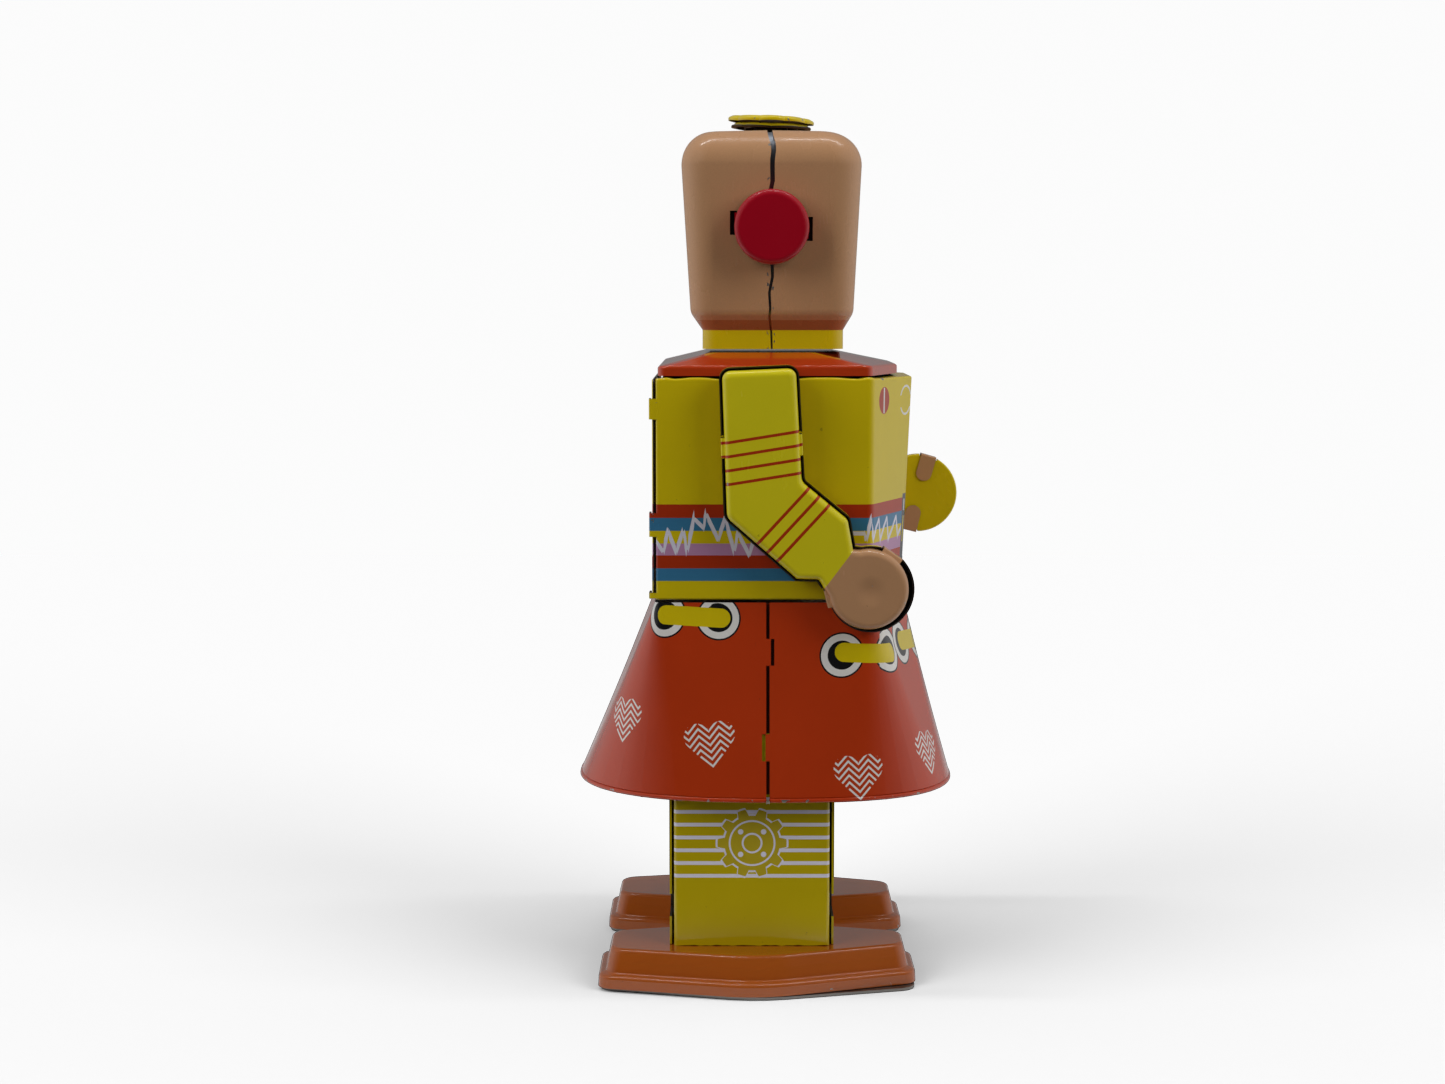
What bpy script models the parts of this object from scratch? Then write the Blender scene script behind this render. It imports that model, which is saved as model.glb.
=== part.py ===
"""A clockwork tinplate walking robot, standing on Z = 0 and facing -Y, with its right side at -X.

Lengths are in millimetres and are turned into metres where a mesh is made.
The body is folded sheet: head halves, torso wrap, back panel, shoulder cover and two skirt halves.
Inside, two motor plates carry the mainspring, a wheel train and the crank shaft that walks the legs.
"""

import math

import bmesh
import bpy
from mathutils import Matrix, Vector

MM = 0.001

# Sheet metal and fits
SHEET = 0.4
GAP = 0.3
RUNNING = 0.15

# Shoes and legs
SHOE_X = 20.4
SHOE_Y = 3.6
SHOE_HALF_LENGTH = 29.1
SHOE_HALF_MIDDLE = 16.1
SHOE_HALF_END = 8.4
SOLE_THICKNESS = 0.5
DECK_Z = 7.4
LEG_OUTER_X = 25.5
LEG_INNER_X = 15.4
LEG_FRONT_Y = -9.6
LEG_REAR_Y = 18.9
LEG_LOW_Z = 7.8
LEG_TOP_Z = 60.0
ANKLE_NOTCH_Z = (12.7, 16.9)

# Skirt
SKIRT_TOP_Z = 70.9
SKIRT_HEM_Z = 35.2
SKIRT_CENTRE_Y = 1.8
HEM_HALF_WIDTH = 31.0
HEM_FRONT_Y = -33.4
HEM_REAR_Y = 37.3
HEM_FRONT_POWER = 2.7
HEM_REAR_POWER = 2.35

# Torso
TORSO_LOW_Z = 71.3
TORSO_TOP_Z = 111.4
TORSO_HALF_WIDTH = 25.2
TORSO_REAR_Y = 22.0
TORSO_BEND_Y = -17.0
CHEST_HALF_WIDTH = 8.4
CHEST_LOW_Y = -23.4
CHEST_TOP_Y = -25.2

# Shoulder cover and head
COVER_LOW_Z = 111.8
COVER_LIP_Z = 113.3
COVER_TOP_Z = 116.3
COVER_TOP_HALF_WIDTH = 19.9
COVER_TOP_REAR_Y = 13.6
COVER_TOP_FRONT_Y = -12.4
COVER_TOP_CHEEK = 4.5
COVER_CHEST_BACK = 2.4
HEAD_SEAM_Y = 1.2
HEAD_LOW_Z = 116.7
HEAD_TOP_Z = 156.2
HEAD_CROWN_RADIUS = 5.5
HEAD_CORNER_RADIUS = 5.6
HEAD_HALF_WIDTH = 20.6
HEAD_FRONT_Y = -15.3
HEAD_REAR_Y = 17.5
COLLAR_HALF_WIDTH = 16.5
COLLAR_FRONT_Y = -12.1
COLLAR_REAR_Y = 13.7
COLLAR_CORNER_RADIUS = 3.0
COLLAR_TOP_Z = 119.9
JAW_Z = 123.3
EAR_Z = 138.4
EAR_RADIUS = 6.7
EAR_OUTER_X = 25.3
EAR_INNER_X = 20.9
EAR_TAB_OFFSET = 6.85
FLOWER_Y = 0.95
FLOWER_RADIUS = 8.25
FLOWER_TOP_Z = 159.7

# Arms, in the side plane: (y, z) from the shoulder pivot, with the upper arm hanging
SHOULDER = (3.4, 107.6)
ARM_OUTER_X = 31.6
ARM_INNER_X = 26.8
HAND_CENTRE = (-19.5, -33.7)
HAND_RADIUS = 7.2
ARM_TRAY_MARGIN = 0.6
LEFT_ARM_RAISE_DEG = 27.1
RIVET_RADIUS = 1.5

# Clockwork: (y, z) of each axis
WINDING_AXIS = (11.5, 76.0)
CRANK_AXIS = (4.6, 56.0)
GUIDE_AXIS = (4.6, 42.0)
ESCAPE_DIRECTION_DEG = 160.0
GOVERNOR_ABOVE_ESCAPE = 6.8
MODULE = 0.7
GREAT_TEETH = 24
SECOND_TEETH = 22
CRANK_WHEEL_TEETH = 20
PINION_TEETH = 8
MOTOR_PLATE_X = 9.5
MOTOR_PLATE_THICKNESS = 0.5
CRANK_THROW = 1.7
KEY_WING_RADIUS = 7.4
KEY_WING_HALF_THICKNESS = 0.6
KEY_OUTER_X = 35.8
KEY_SHANK_X = (26.4, 31.4)
KEY_SHANK_RADIUS = 2.9
KEY_BORE_END_X = 30.0
WINDING_ARBOR_RADIUS = 1.5
SECOND_ARBOR_RADIUS = 0.9
CRANK_SHAFT_RADIUS = 1.2
ESCAPE_ARBOR_RADIUS = 0.8
GOVERNOR_ARBOR_RADIUS = 0.7
GUIDE_RADIUS = 1.5
PILLAR_RADIUS = 1.5
PILLAR_RIVET_RADIUS = 0.9
ARBOR_HALF_LENGTH = 10.4
RATCHET_TEETH = 12
RATCHET_ROOT_RADIUS = 2.9
RATCHET_TIP_RADIUS = 3.9
ESCAPE_TIP_RADIUS = 4.0
CRANK_DISC_RADIUS = 3.6
CRANK_PIN_RADIUS = 0.7
CRANK_PIN_CLEARANCE = 0.5
SPRING_RADII = (2.4, 8.2)
SPRING_X = (-8.3, -3.2)
SPRING_THICKNESS = 0.35
SPRING_TURNS = 5

CIRCLE_STEPS = 16


# ---------------------------------------------------------------- scene and materials

def clear_scene():
    for obj in list(bpy.data.objects):
        bpy.data.objects.remove(obj, do_unlink=True)


def new_collection(name):
    collection = bpy.data.collections.new(name)
    bpy.context.scene.collection.children.link(collection)
    return collection


def material(name, colour, roughness, metallic=0.0):
    """The named Principled material, made on first use."""
    found = bpy.data.materials.get(name)
    if found:
        return found
    made = bpy.data.materials.new(name)
    made.use_nodes = True
    shader = made.node_tree.nodes["Principled BSDF"]
    shader.inputs["Base Color"].default_value = (*colour, 1.0)
    shader.inputs["Roughness"].default_value = roughness
    shader.inputs["Metallic"].default_value = metallic
    made.diffuse_color = (*colour, 1.0)
    return made


def yellow_tin():
    return material("yellow_tin", (0.62, 0.55, 0.03), 0.25)


def skin_tin():
    return material("skin_tin", (0.50, 0.30, 0.18), 0.35)


def red_tin():
    return material("red_tin", (0.45, 0.01, 0.04), 0.3)


def orange_tin():
    return material("orange_tin", (0.52, 0.09, 0.02), 0.2)


def brown_tin():
    return material("brown_tin", (0.48, 0.17, 0.04), 0.25)


def bare_tin():
    return material("bare_tin", (0.30, 0.31, 0.32), 0.4, 1.0)


def steel():
    return material("steel", (0.55, 0.55, 0.56), 0.3, 1.0)


def brass():
    return material("brass", (0.70, 0.52, 0.22), 0.3, 1.0)


# ---------------------------------------------------------------- outlines

def circle(radius, centre=(0.0, 0.0), steps=CIRCLE_STEPS):
    turns = [2 * math.pi * i / steps for i in range(steps)]
    return [(centre[0] + radius * math.cos(a), centre[1] + radius * math.sin(a)) for a in turns]


def fillet(before, corner, after, radius, steps):
    """Points of the arc that rounds one corner of an outline."""
    corner = Vector(corner)
    to_before = (Vector(before) - corner).normalized()
    to_after = (Vector(after) - corner).normalized()
    half = to_before.angle(to_after) / 2
    along = radius / math.tan(half)
    centre = corner + (to_before + to_after).normalized() * (radius / math.sin(half))
    first = corner + to_before * along - centre
    last = corner + to_after * along - centre
    sweep = math.atan2(first.x * last.y - first.y * last.x, first.dot(last))
    return [tuple(centre + Matrix.Rotation(sweep * i / steps, 2) @ first) for i in range(steps + 1)]


def rounded(corners, steps=3, closed=True):
    """An outline from (u, v, corner radius) corners. An open outline keeps its two ends."""
    count = len(corners)
    points = []
    for i, (u, v, radius) in enumerate(corners):
        at_end = not closed and i in (0, count - 1)
        if radius <= 0 or at_end:
            points.append((u, v))
            continue
        before = corners[i - 1][:2]
        after = corners[(i + 1) % count][:2]
        points += fillet(before, (u, v), after, radius, steps)
    return points


def grown(outline, distance):
    """A closed counter-clockwise outline moved outwards by a distance."""
    moved = []
    for i, point in enumerate(outline):
        here = Vector(point)
        back = (here - Vector(outline[i - 1])).normalized()
        on = (Vector(outline[(i + 1) % len(outline)]) - here).normalized()
        normal = Vector((back.y + on.y, -back.x - on.x)).normalized()
        stretch = max(0.5, normal.dot(Vector((on.y, -on.x))))
        moved.append(tuple(here + normal * (distance / stretch)))
    return moved


def reach(outline, centre, angle):
    """The point of a closed outline that lies in one direction from a centre inside it."""
    way = Vector((math.cos(angle), math.sin(angle)))
    middle = Vector(centre)
    for i, point in enumerate(outline):
        start = Vector(outline[i - 1]) - middle
        side = Vector(point) - Vector(outline[i - 1])
        cross = way.x * side.y - way.y * side.x
        if abs(cross) < 1e-9:
            continue
        distance = (start.x * side.y - start.y * side.x) / cross
        share = (start.x * way.y - start.y * way.x) / cross
        if distance > 0 and -1e-9 <= share <= 1 + 1e-9:
            return middle + way * distance
    raise ValueError("the outline does not surround its centre")


def teeth_ring(teeth, phase):
    """A gear outline of straight-sided teeth, four points to a tooth."""
    pitch_radius = teeth * MODULE / 2
    root = pitch_radius - 1.15 * MODULE
    tip = pitch_radius + 0.8 * MODULE
    step = 2 * math.pi / teeth
    points = []
    for i in range(teeth):
        middle = phase + i * step
        for share, radius in ((-0.27, root), (-0.11, tip), (0.11, tip), (0.27, root)):
            angle = middle + share * step
            points.append((radius * math.cos(angle), radius * math.sin(angle)))
    return points


def ratchet_ring(teeth, root, tip):
    """A saw-toothed outline, two points to a tooth."""
    step = 2 * math.pi / teeth
    points = []
    for i in range(teeth):
        for share, radius in ((0.0, root), (0.12, tip)):
            angle = (i + share) * step
            points.append((radius * math.cos(angle), radius * math.sin(angle)))
    return points


def round_ring(radius, like):
    """A circle with one point for each point of another ring, at the same angles."""
    return [tuple(Vector(point).normalized() * radius) for point in like]


def torso_plan(inset=0.0, chest_y=CHEST_LOW_Y):
    """The torso's plan, counter-clockwise from its rear left corner: square behind, a blunt V in front."""
    half = TORSO_HALF_WIDTH - inset
    rear = TORSO_REAR_Y - inset
    corners = [
        (half, rear, 1.0),
        (-half, rear, 1.0),
        (-half, TORSO_BEND_Y + inset * 0.3, 1.6),
        (-CHEST_HALF_WIDTH, chest_y + inset, 1.2),
        (CHEST_HALF_WIDTH, chest_y + inset, 1.2),
        (half, TORSO_BEND_Y + inset * 0.3, 1.6),
    ]
    return rounded(corners)


# ---------------------------------------------------------------- meshes

def loft(rings, closed_rings=True, caps=(False, False), joined_ends=False):
    """Skins a list of rings of 3-D points that all have the same count."""
    bm = bmesh.new()
    rows = [[bm.verts.new(point) for point in ring] for ring in rings]
    count = len(rows[0])
    pairs = list(zip(rows, rows[1:]))
    if joined_ends:
        pairs.append((rows[-1], rows[0]))
    for low, high in pairs:
        for i in range(count if closed_rings else count - 1):
            j = (i + 1) % count
            bm.faces.new((low[i], low[j], high[j], high[i]))
    if caps[0]:
        bm.faces.new(reversed(rows[0]))
    if caps[1]:
        bm.faces.new(rows[-1])
    return bm


def level(outline, z):
    return [(u, v, z) for u, v in outline]


def across(outline, x, centre=(0.0, 0.0)):
    """Points of a side-plane outline, (y, z), at one x."""
    return [(x, u + centre[0], v + centre[1]) for u, v in outline]


def mirrored(bm):
    bmesh.ops.scale(bm, vec=(-1, 1, 1), verts=bm.verts)
    bmesh.ops.reverse_faces(bm, faces=bm.faces)
    return bm


def box(low, high):
    bm = bmesh.new()
    bmesh.ops.create_cube(bm, size=1.0)
    size = Vector(high) - Vector(low)
    bmesh.ops.scale(bm, vec=size, verts=bm.verts)
    bmesh.ops.translate(bm, vec=(Vector(high) + Vector(low)) / 2, verts=bm.verts)
    return bm


def shaft(stages, steps=12):
    """A stepped round bar along X from (x, radius) stages."""
    rings = [across(circle(radius, steps=steps), x) for x, radius in stages]
    return closed_solid(loft(rings, caps=(True, True)))


def closed_solid(bm):
    bmesh.ops.remove_doubles(bm, verts=bm.verts, dist=1e-5)
    bmesh.ops.recalc_face_normals(bm, faces=bm.faces)
    return bm


def sheet_across_x(loops, x_low, x_high):
    """A flat sheet square to X, from a (y, z) outline and its holes, filled as a 2-D curve."""
    curve = bpy.data.curves.new("outline", "CURVE")
    curve.dimensions = "2D"
    curve.fill_mode = "BOTH"
    curve.extrude = (x_high - x_low) / 2
    for loop in loops:
        spline = curve.splines.new("POLY")
        spline.points.add(len(loop) - 1)
        spline.use_cyclic_u = True
        for point, (u, v) in zip(spline.points, loop):
            point.co = (u, v, 0.0, 1.0)
    guide = bpy.data.objects.new("outline", curve)
    bpy.context.scene.collection.objects.link(guide)
    graph = bpy.context.evaluated_depsgraph_get()
    mesh = bpy.data.meshes.new_from_object(guide.evaluated_get(graph))
    bm = bmesh.new()
    bm.from_mesh(mesh)
    bpy.data.objects.remove(guide, do_unlink=True)
    bpy.data.curves.remove(curve)
    bpy.data.meshes.remove(mesh)
    middle = (x_high + x_low) / 2
    for vertex in bm.verts:
        u, v, w = vertex.co
        vertex.co = (w + middle, u, v)
    return closed_solid(bm)


def sheet_across_z(loops, z_low, z_high):
    bm = sheet_across_x(loops, z_low, z_high)
    for vertex in bm.verts:
        height, u, v = vertex.co
        vertex.co = (u, v, height)
    return closed_solid(bm)


# ---------------------------------------------------------------- objects

def place(name, bm, shade, origin=(0.0, 0.0, 0.0), thickness=0.0, smooth=True):
    """Makes the named object from a mesh drawn in the robot's frame, with its origin at a chosen point."""
    bmesh.ops.translate(bm, vec=-Vector(origin), verts=bm.verts)
    bmesh.ops.scale(bm, vec=(MM, MM, MM), verts=bm.verts)
    mesh = bpy.data.meshes.new(name)
    bm.to_mesh(mesh)
    bm.free()
    mesh.materials.append(shade)
    if smooth:
        mesh.shade_smooth()
        mesh.set_sharp_from_angle(angle=math.radians(35))
    obj = bpy.data.objects.new(name, mesh)
    obj.location = Vector(origin) * MM
    PARTS.objects.link(obj)
    if thickness:
        solid = obj.modifiers.new("sheet", "SOLIDIFY")
        solid.thickness = thickness * MM
        solid.offset = -1.0
        solid.use_even_offset = True
    return obj


def cut(obj, name, bm, operation="DIFFERENCE"):
    """Cuts a mesh out of an object, or joins it on. The mesh is drawn in the robot's frame."""
    bmesh.ops.scale(bm, vec=(MM, MM, MM), verts=bm.verts)
    mesh = bpy.data.meshes.new(name)
    bm.to_mesh(mesh)
    bm.free()
    tool = bpy.data.objects.new(name, mesh)
    tool.hide_render = True
    tool.display_type = "WIRE"
    CUTTERS.objects.link(tool)
    step = obj.modifiers.new(name, "BOOLEAN")
    step.operation = operation
    step.solver = "EXACT"
    step.object = tool


def side_point(axis):
    return (0.0, axis[0], axis[1])


def moved(bm, centre):
    bmesh.ops.translate(bm, vec=(0.0, centre[0], centre[1]), verts=bm.verts)
    return bm


# ---------------------------------------------------------------- head

def head_ring(z, half_width, front, rear, radius):
    corners = [
        (half_width, rear, radius),
        (-half_width, rear, radius),
        (-half_width, front, radius),
        (half_width, front, radius),
    ]
    return level(rounded(corners, steps=3), z)


def head_skin():
    """The whole head and collar, open underneath, before it is split into two pressings."""
    collar = (COLLAR_HALF_WIDTH, COLLAR_FRONT_Y, COLLAR_REAR_Y, COLLAR_CORNER_RADIUS)
    rings = [
        head_ring(HEAD_LOW_Z, *collar),
        head_ring(COLLAR_TOP_Z, *collar),
        head_ring(COLLAR_TOP_Z + 0.6, 17.6, -13.1, 14.8, 3.4),
        head_ring(JAW_Z, 19.0, -14.3, 15.9, 4.0),
    ]
    crown_z = HEAD_TOP_Z - HEAD_CROWN_RADIUS
    for turn in (0, 30, 60, 90):
        angle = math.radians(turn)
        inset = HEAD_CROWN_RADIUS * (1 - math.cos(angle))
        z = crown_z + HEAD_CROWN_RADIUS * math.sin(angle)
        half_width, front, rear = HEAD_HALF_WIDTH - inset, HEAD_FRONT_Y + inset, HEAD_REAR_Y - inset
        rings.append(head_ring(z, half_width, front, rear, HEAD_CORNER_RADIUS))
    return loft(rings, caps=(False, True))


def head_shell(name, keeps_front):
    bm = head_skin()
    side = -1 if keeps_front else 1
    bmesh.ops.bisect_plane(
        bm,
        geom=bm.verts[:] + bm.edges[:] + bm.faces[:],
        plane_co=(0, HEAD_SEAM_Y + side * GAP / 2, 0),
        plane_no=(0, 1, 0),
        clear_outer=keeps_front,
        clear_inner=not keeps_front,
    )
    shell = place(name, bm, skin_tin(), thickness=SHEET)
    for label, sign in (("right", -1), ("left", 1)):
        middle = HEAD_SEAM_Y + side * EAR_TAB_OFFSET
        ends = sorted((sign * 18.5, sign * 22.0))
        slot = box((ends[0], middle - 0.85, EAR_Z - 2.3), (ends[1], middle + 0.85, EAR_Z + 2.3))
        cut(shell, f"{name}_{label}_ear_slot", slot)


def ear_cap(name, sign):
    """A shallow pressed cup whose two tabs pass through slots in the head."""
    rings = [
        (EAR_INNER_X, EAR_RADIUS),
        (EAR_OUTER_X - 1.2, EAR_RADIUS),
        (EAR_OUTER_X - 0.4, EAR_RADIUS - 0.35),
        (EAR_OUTER_X, EAR_RADIUS - 1.2),
    ]
    steps = 24
    bm = loft([across(circle(r, steps=steps), x) for x, r in rings], caps=(False, True))
    if sign < 0:
        mirrored(bm)
    moved(bm, (HEAD_SEAM_Y, EAR_Z))
    cap = place(name, bm, red_tin(), origin=(0.0, HEAD_SEAM_Y, EAR_Z), thickness=SHEET)
    for label, side in (("front", -1), ("rear", 1)):
        middle = HEAD_SEAM_Y + side * EAR_TAB_OFFSET
        ends = sorted((sign * 18.8, sign * (EAR_INNER_X + 0.6)))
        tab = box((ends[0], middle - 0.5, EAR_Z - 1.9), (ends[1], middle + 0.5, EAR_Z + 1.9))
        cut(cap, f"{name}_{label}_tab", tab, "UNION")


def flower():
    """The dished flower on the crown: ten petals round a flat middle."""
    petals = 10
    steps = 30

    def petal_ring(radius, scallop, z):
        points = []
        for i in range(steps):
            angle = 2 * math.pi * i / steps
            edge = radius * (1 - scallop * abs(math.sin(petals * angle / 2)) ** 2)
            points.append((edge * math.cos(angle), FLOWER_Y + edge * math.sin(angle), z))
        return points

    rings = [
        petal_ring(3.0, 0.0, 158.75),
        petal_ring(3.6, 0.0, 159.1),
        petal_ring(5.4, 0.04, 159.1),
        petal_ring(FLOWER_RADIUS, 0.12, FLOWER_TOP_Z),
    ]
    rings.reverse()
    bm = loft(rings, caps=(False, True))
    place("flower_plate", bm, yellow_tin(), origin=(0, FLOWER_Y, 0), thickness=SHEET)


def flower_stand():
    """A small bridge folded from one strip, with both feet on the crown."""
    half, foot, low = 3.6, 5.4, HEAD_TOP_Z + GAP
    top = 158.0
    profile = [
        (-foot, low), (-half, low), (-half, top - SHEET), (half, top - SHEET),
        (half, low), (foot, low), (foot, low + SHEET), (half + SHEET, low + SHEET),
        (half + SHEET, top), (-half - SHEET, top), (-half - SHEET, low + SHEET), (-foot, low + SHEET),
    ]
    bm = sheet_across_x([[(u + FLOWER_Y, v) for u, v in profile]], -3.0, 3.0)
    place("flower_stand", bm, bare_tin(), smooth=False)


# ---------------------------------------------------------------- torso and skirt

def torso_wrap():
    """One sheet folded round both sides, the two slanted cheeks and the chest."""
    def plan(chest_y):
        corners = [
            (-TORSO_HALF_WIDTH, TORSO_REAR_Y, 0),
            (-TORSO_HALF_WIDTH, TORSO_BEND_Y, 1.6),
            (-CHEST_HALF_WIDTH, chest_y, 1.2),
            (CHEST_HALF_WIDTH, chest_y, 1.2),
            (TORSO_HALF_WIDTH, TORSO_BEND_Y, 1.6),
            (TORSO_HALF_WIDTH, TORSO_REAR_Y, 0),
        ]
        return rounded(corners, closed=False)

    rings = [level(plan(CHEST_LOW_Y), TORSO_LOW_Z), level(plan(CHEST_TOP_Y), TORSO_TOP_Z)]
    wrap = place("torso_wrap", loft(rings, closed_rings=False), yellow_tin(), thickness=SHEET)
    hole_radius = RIVET_RADIUS + GAP
    for label, sign in (("right", -1), ("left", 1)):
        ends = sorted((sign * 23.0, sign * 27.0))
        bore = moved(shaft([(ends[0], hole_radius), (ends[1], hole_radius)], CIRCLE_STEPS), SHOULDER)
        cut(wrap, f"{label}_rivet_bore", bore)
    key_bore = moved(shaft([(23.0, 2.2), (27.0, 2.2)], CIRCLE_STEPS), WINDING_AXIS)
    cut(wrap, "winding_key_bore", key_bore)


def torso_back():
    low = (-TORSO_HALF_WIDTH + 0.3, TORSO_REAR_Y + GAP, TORSO_LOW_Z + 0.2)
    high = (TORSO_HALF_WIDTH - 0.3, TORSO_REAR_Y + GAP + SHEET, TORSO_TOP_Z - 0.2)
    place("torso_back_panel", box(low, high), yellow_tin(), smooth=False)


def torso_floor():
    """The plate that closes the torso below and holds the motor in its window."""
    window = [(-10.6, -10.5), (10.6, -10.5), (10.6, 20.2), (-10.6, 20.2)]
    bm = sheet_across_z([torso_plan(inset=0.8), window], 71.7, 72.1)
    place("torso_floor", bm, bare_tin(), smooth=False)


def shoulder_cover():
    """The red shoulder pressing: an upright lip and six slopes up to a flat top."""
    def ring(inset, z):
        return level(torso_plan(inset, CHEST_TOP_Y + COVER_CHEST_BACK), z)

    def top_ring(inset, z):
        half, rear = COVER_TOP_HALF_WIDTH - inset, COVER_TOP_REAR_Y - inset
        front = COVER_TOP_FRONT_Y + inset
        corners = [
            (half, rear, 2.0),
            (-half, rear, 2.0),
            (-half, front + COVER_TOP_CHEEK, 1.6),
            (-CHEST_HALF_WIDTH, front, 1.2),
            (CHEST_HALF_WIDTH, front, 1.2),
            (half, front + COVER_TOP_CHEEK, 1.6),
        ]
        return level(rounded(corners), z)

    rings = [
        ring(0.2, COVER_LOW_Z),
        ring(0.2, COVER_LIP_Z - 0.4),
        ring(0.5, COVER_LIP_Z),
        ring(1.2, COVER_LIP_Z + 0.3),
        top_ring(0.0, COVER_TOP_Z - 0.15),
        top_ring(0.7, COVER_TOP_Z),
    ]
    place("shoulder_cover", loft(rings, caps=(False, True)), orange_tin(), thickness=SHEET)


def hem_outline(steps=96):
    points = []
    for i in range(steps):
        angle = 2 * math.pi * i / steps
        across_x, along_y = math.cos(angle), math.sin(angle)
        depth = HEM_REAR_Y - SKIRT_CENTRE_Y if along_y > 0 else SKIRT_CENTRE_Y - HEM_FRONT_Y
        power = HEM_REAR_POWER if along_y > 0 else HEM_FRONT_POWER
        size = (abs(across_x) / HEM_HALF_WIDTH) ** power + (abs(along_y) / depth) ** power
        radius = size ** (-1 / power)
        points.append((across_x * radius, SKIRT_CENTRE_Y + along_y * radius))
    return points


def skirt_shell(name, keeps_front):
    """Half of the flared skirt, from the torso's plan above to the hem below."""
    centre = (0.0, SKIRT_CENTRE_Y)
    top = torso_plan(inset=-0.2)
    hem = hem_outline()
    half_steps = 24
    start = math.pi if keeps_front else 0.0
    edge = (GAP / 2) / TORSO_HALF_WIDTH
    span = math.pi - 2 * edge
    rings = []
    heights = 6
    for step in range(heights + 1):
        share = step / heights
        spread = 1 - share
        spread -= 0.05 * math.sin(math.pi * spread)
        z = SKIRT_HEM_Z + (SKIRT_TOP_Z - SKIRT_HEM_Z) * share
        ring = []
        for i in range(half_steps + 1):
            angle = start + edge + span * i / half_steps
            point = reach(top, centre, angle).lerp(reach(hem, centre, angle), spread)
            ring.append((point.x, point.y, z))
        rings.append(ring)
    place(name, loft(rings, closed_rings=False), orange_tin(), thickness=SHEET)


# ---------------------------------------------------------------- arms

def arm_outline():
    """The side view of an arm in (y, z): the sleeve, bent at the elbow, and the round hand."""
    corners = [
        (6.7, 5.2, 1.4),
        (-6.4, 5.75, 1.4),
        (-7.5, -14.4, 2.0),
        (-15.7, -21.2, 1.0),
    ]
    wrist = (-16.7, -26.6)
    points = rounded([(5.8, -20.85, 2.0), *corners, (*wrist, 0), (-6.7, -31.8, 0)], steps=2)
    hand_start, hand_end, steps = 72.0, 350.0, 12
    split = points.index(wrist) + 1
    hand = []
    for i in range(1, steps + 1):
        angle = math.radians(hand_start + (hand_end - hand_start) * i / steps)
        hand.append((HAND_CENTRE[0] + HAND_RADIUS * math.cos(angle),
                     HAND_CENTRE[1] + HAND_RADIUS * math.sin(angle)))
    return points[:split] + hand + [(-10.6, -31.9)] + points[split:]


def arm(side, sign, raise_deg):
    """One arm on its shoulder rivet: a yellow inner tray and the outer shell that closes it."""
    outline = arm_outline()
    pivot = (0.0, *SHOULDER)
    shell_rings = [
        across(outline, ARM_INNER_X + 0.9),
        across(outline, ARM_OUTER_X - 1.2),
        across(grown(outline, -0.35), ARM_OUTER_X - 0.35),
        across(grown(outline, -1.2), ARM_OUTER_X),
    ]
    tray_outline = grown(outline, ARM_TRAY_MARGIN)
    tray_rings = [
        across(tray_outline, ARM_INNER_X + 2.1),
        across(tray_outline, ARM_INNER_X),
    ]
    shell = loft(shell_rings, caps=(False, True))
    tray = loft(tray_rings, caps=(False, True))
    bmesh.ops.reverse_faces(tray, faces=tray.faces)
    for bm in (shell, tray):
        moved(bm, SHOULDER)
        if sign < 0:
            mirrored(bm)
    shell_object = place(f"{side}_arm_outer_shell", shell, yellow_tin(), pivot, SHEET)
    tray_object = place(f"{side}_arm_inner_tray", tray, yellow_tin(), pivot, SHEET)
    for obj in (shell_object, tray_object):
        obj.rotation_euler.x = -math.radians(raise_deg)
    ends = sorted((sign * 26.0, sign * 28.0))
    hole_radius = RIVET_RADIUS + GAP
    bore = moved(shaft([(ends[0], hole_radius), (ends[1], hole_radius)], CIRCLE_STEPS), SHOULDER)
    cut(tray_object, f"{side}_arm_bore", bore)


def shoulder_rivet(side, sign):
    """The headed pin that each arm turns on, set through the torso's side."""
    stages = [
        (23.4, 3.0), (24.4, 3.0), (24.4, RIVET_RADIUS), (27.5, RIVET_RADIUS), (27.5, 2.8), (28.3, 2.2),
    ]
    bm = moved(shaft([(sign * x, radius) for x, radius in stages], CIRCLE_STEPS), SHOULDER)
    place(f"{side}_shoulder_rivet", bm, steel(), origin=(0.0, *SHOULDER))


def shoulder_washer(side, sign):
    ends = sorted((sign * 25.6, sign * 26.4))
    ring = circle(4.2)
    hole = circle(RIVET_RADIUS + GAP)
    bm = moved(sheet_across_x([ring, hole], *ends), SHOULDER)
    place(f"{side}_shoulder_washer", bm, steel(), origin=(0.0, *SHOULDER))


# ---------------------------------------------------------------- legs and shoes

def channel(web_x, open_x, front, rear, sign):
    """A U-shaped leg channel with its web at one x and its two flanges reaching to another."""
    corners = [
        (sign * open_x, rear, 0),
        (sign * web_x, rear, 0.8),
        (sign * web_x, front, 0.8),
        (sign * open_x, front, 0),
    ]
    outline = rounded(corners, steps=2, closed=False)
    bm = loft([level(outline, LEG_LOW_Z), level(outline, LEG_TOP_Z)], closed_rings=False)
    web_faces_inwards = web_x < open_x
    if (sign > 0) != web_faces_inwards:
        bmesh.ops.reverse_faces(bm, faces=bm.faces)
    return bm


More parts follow.
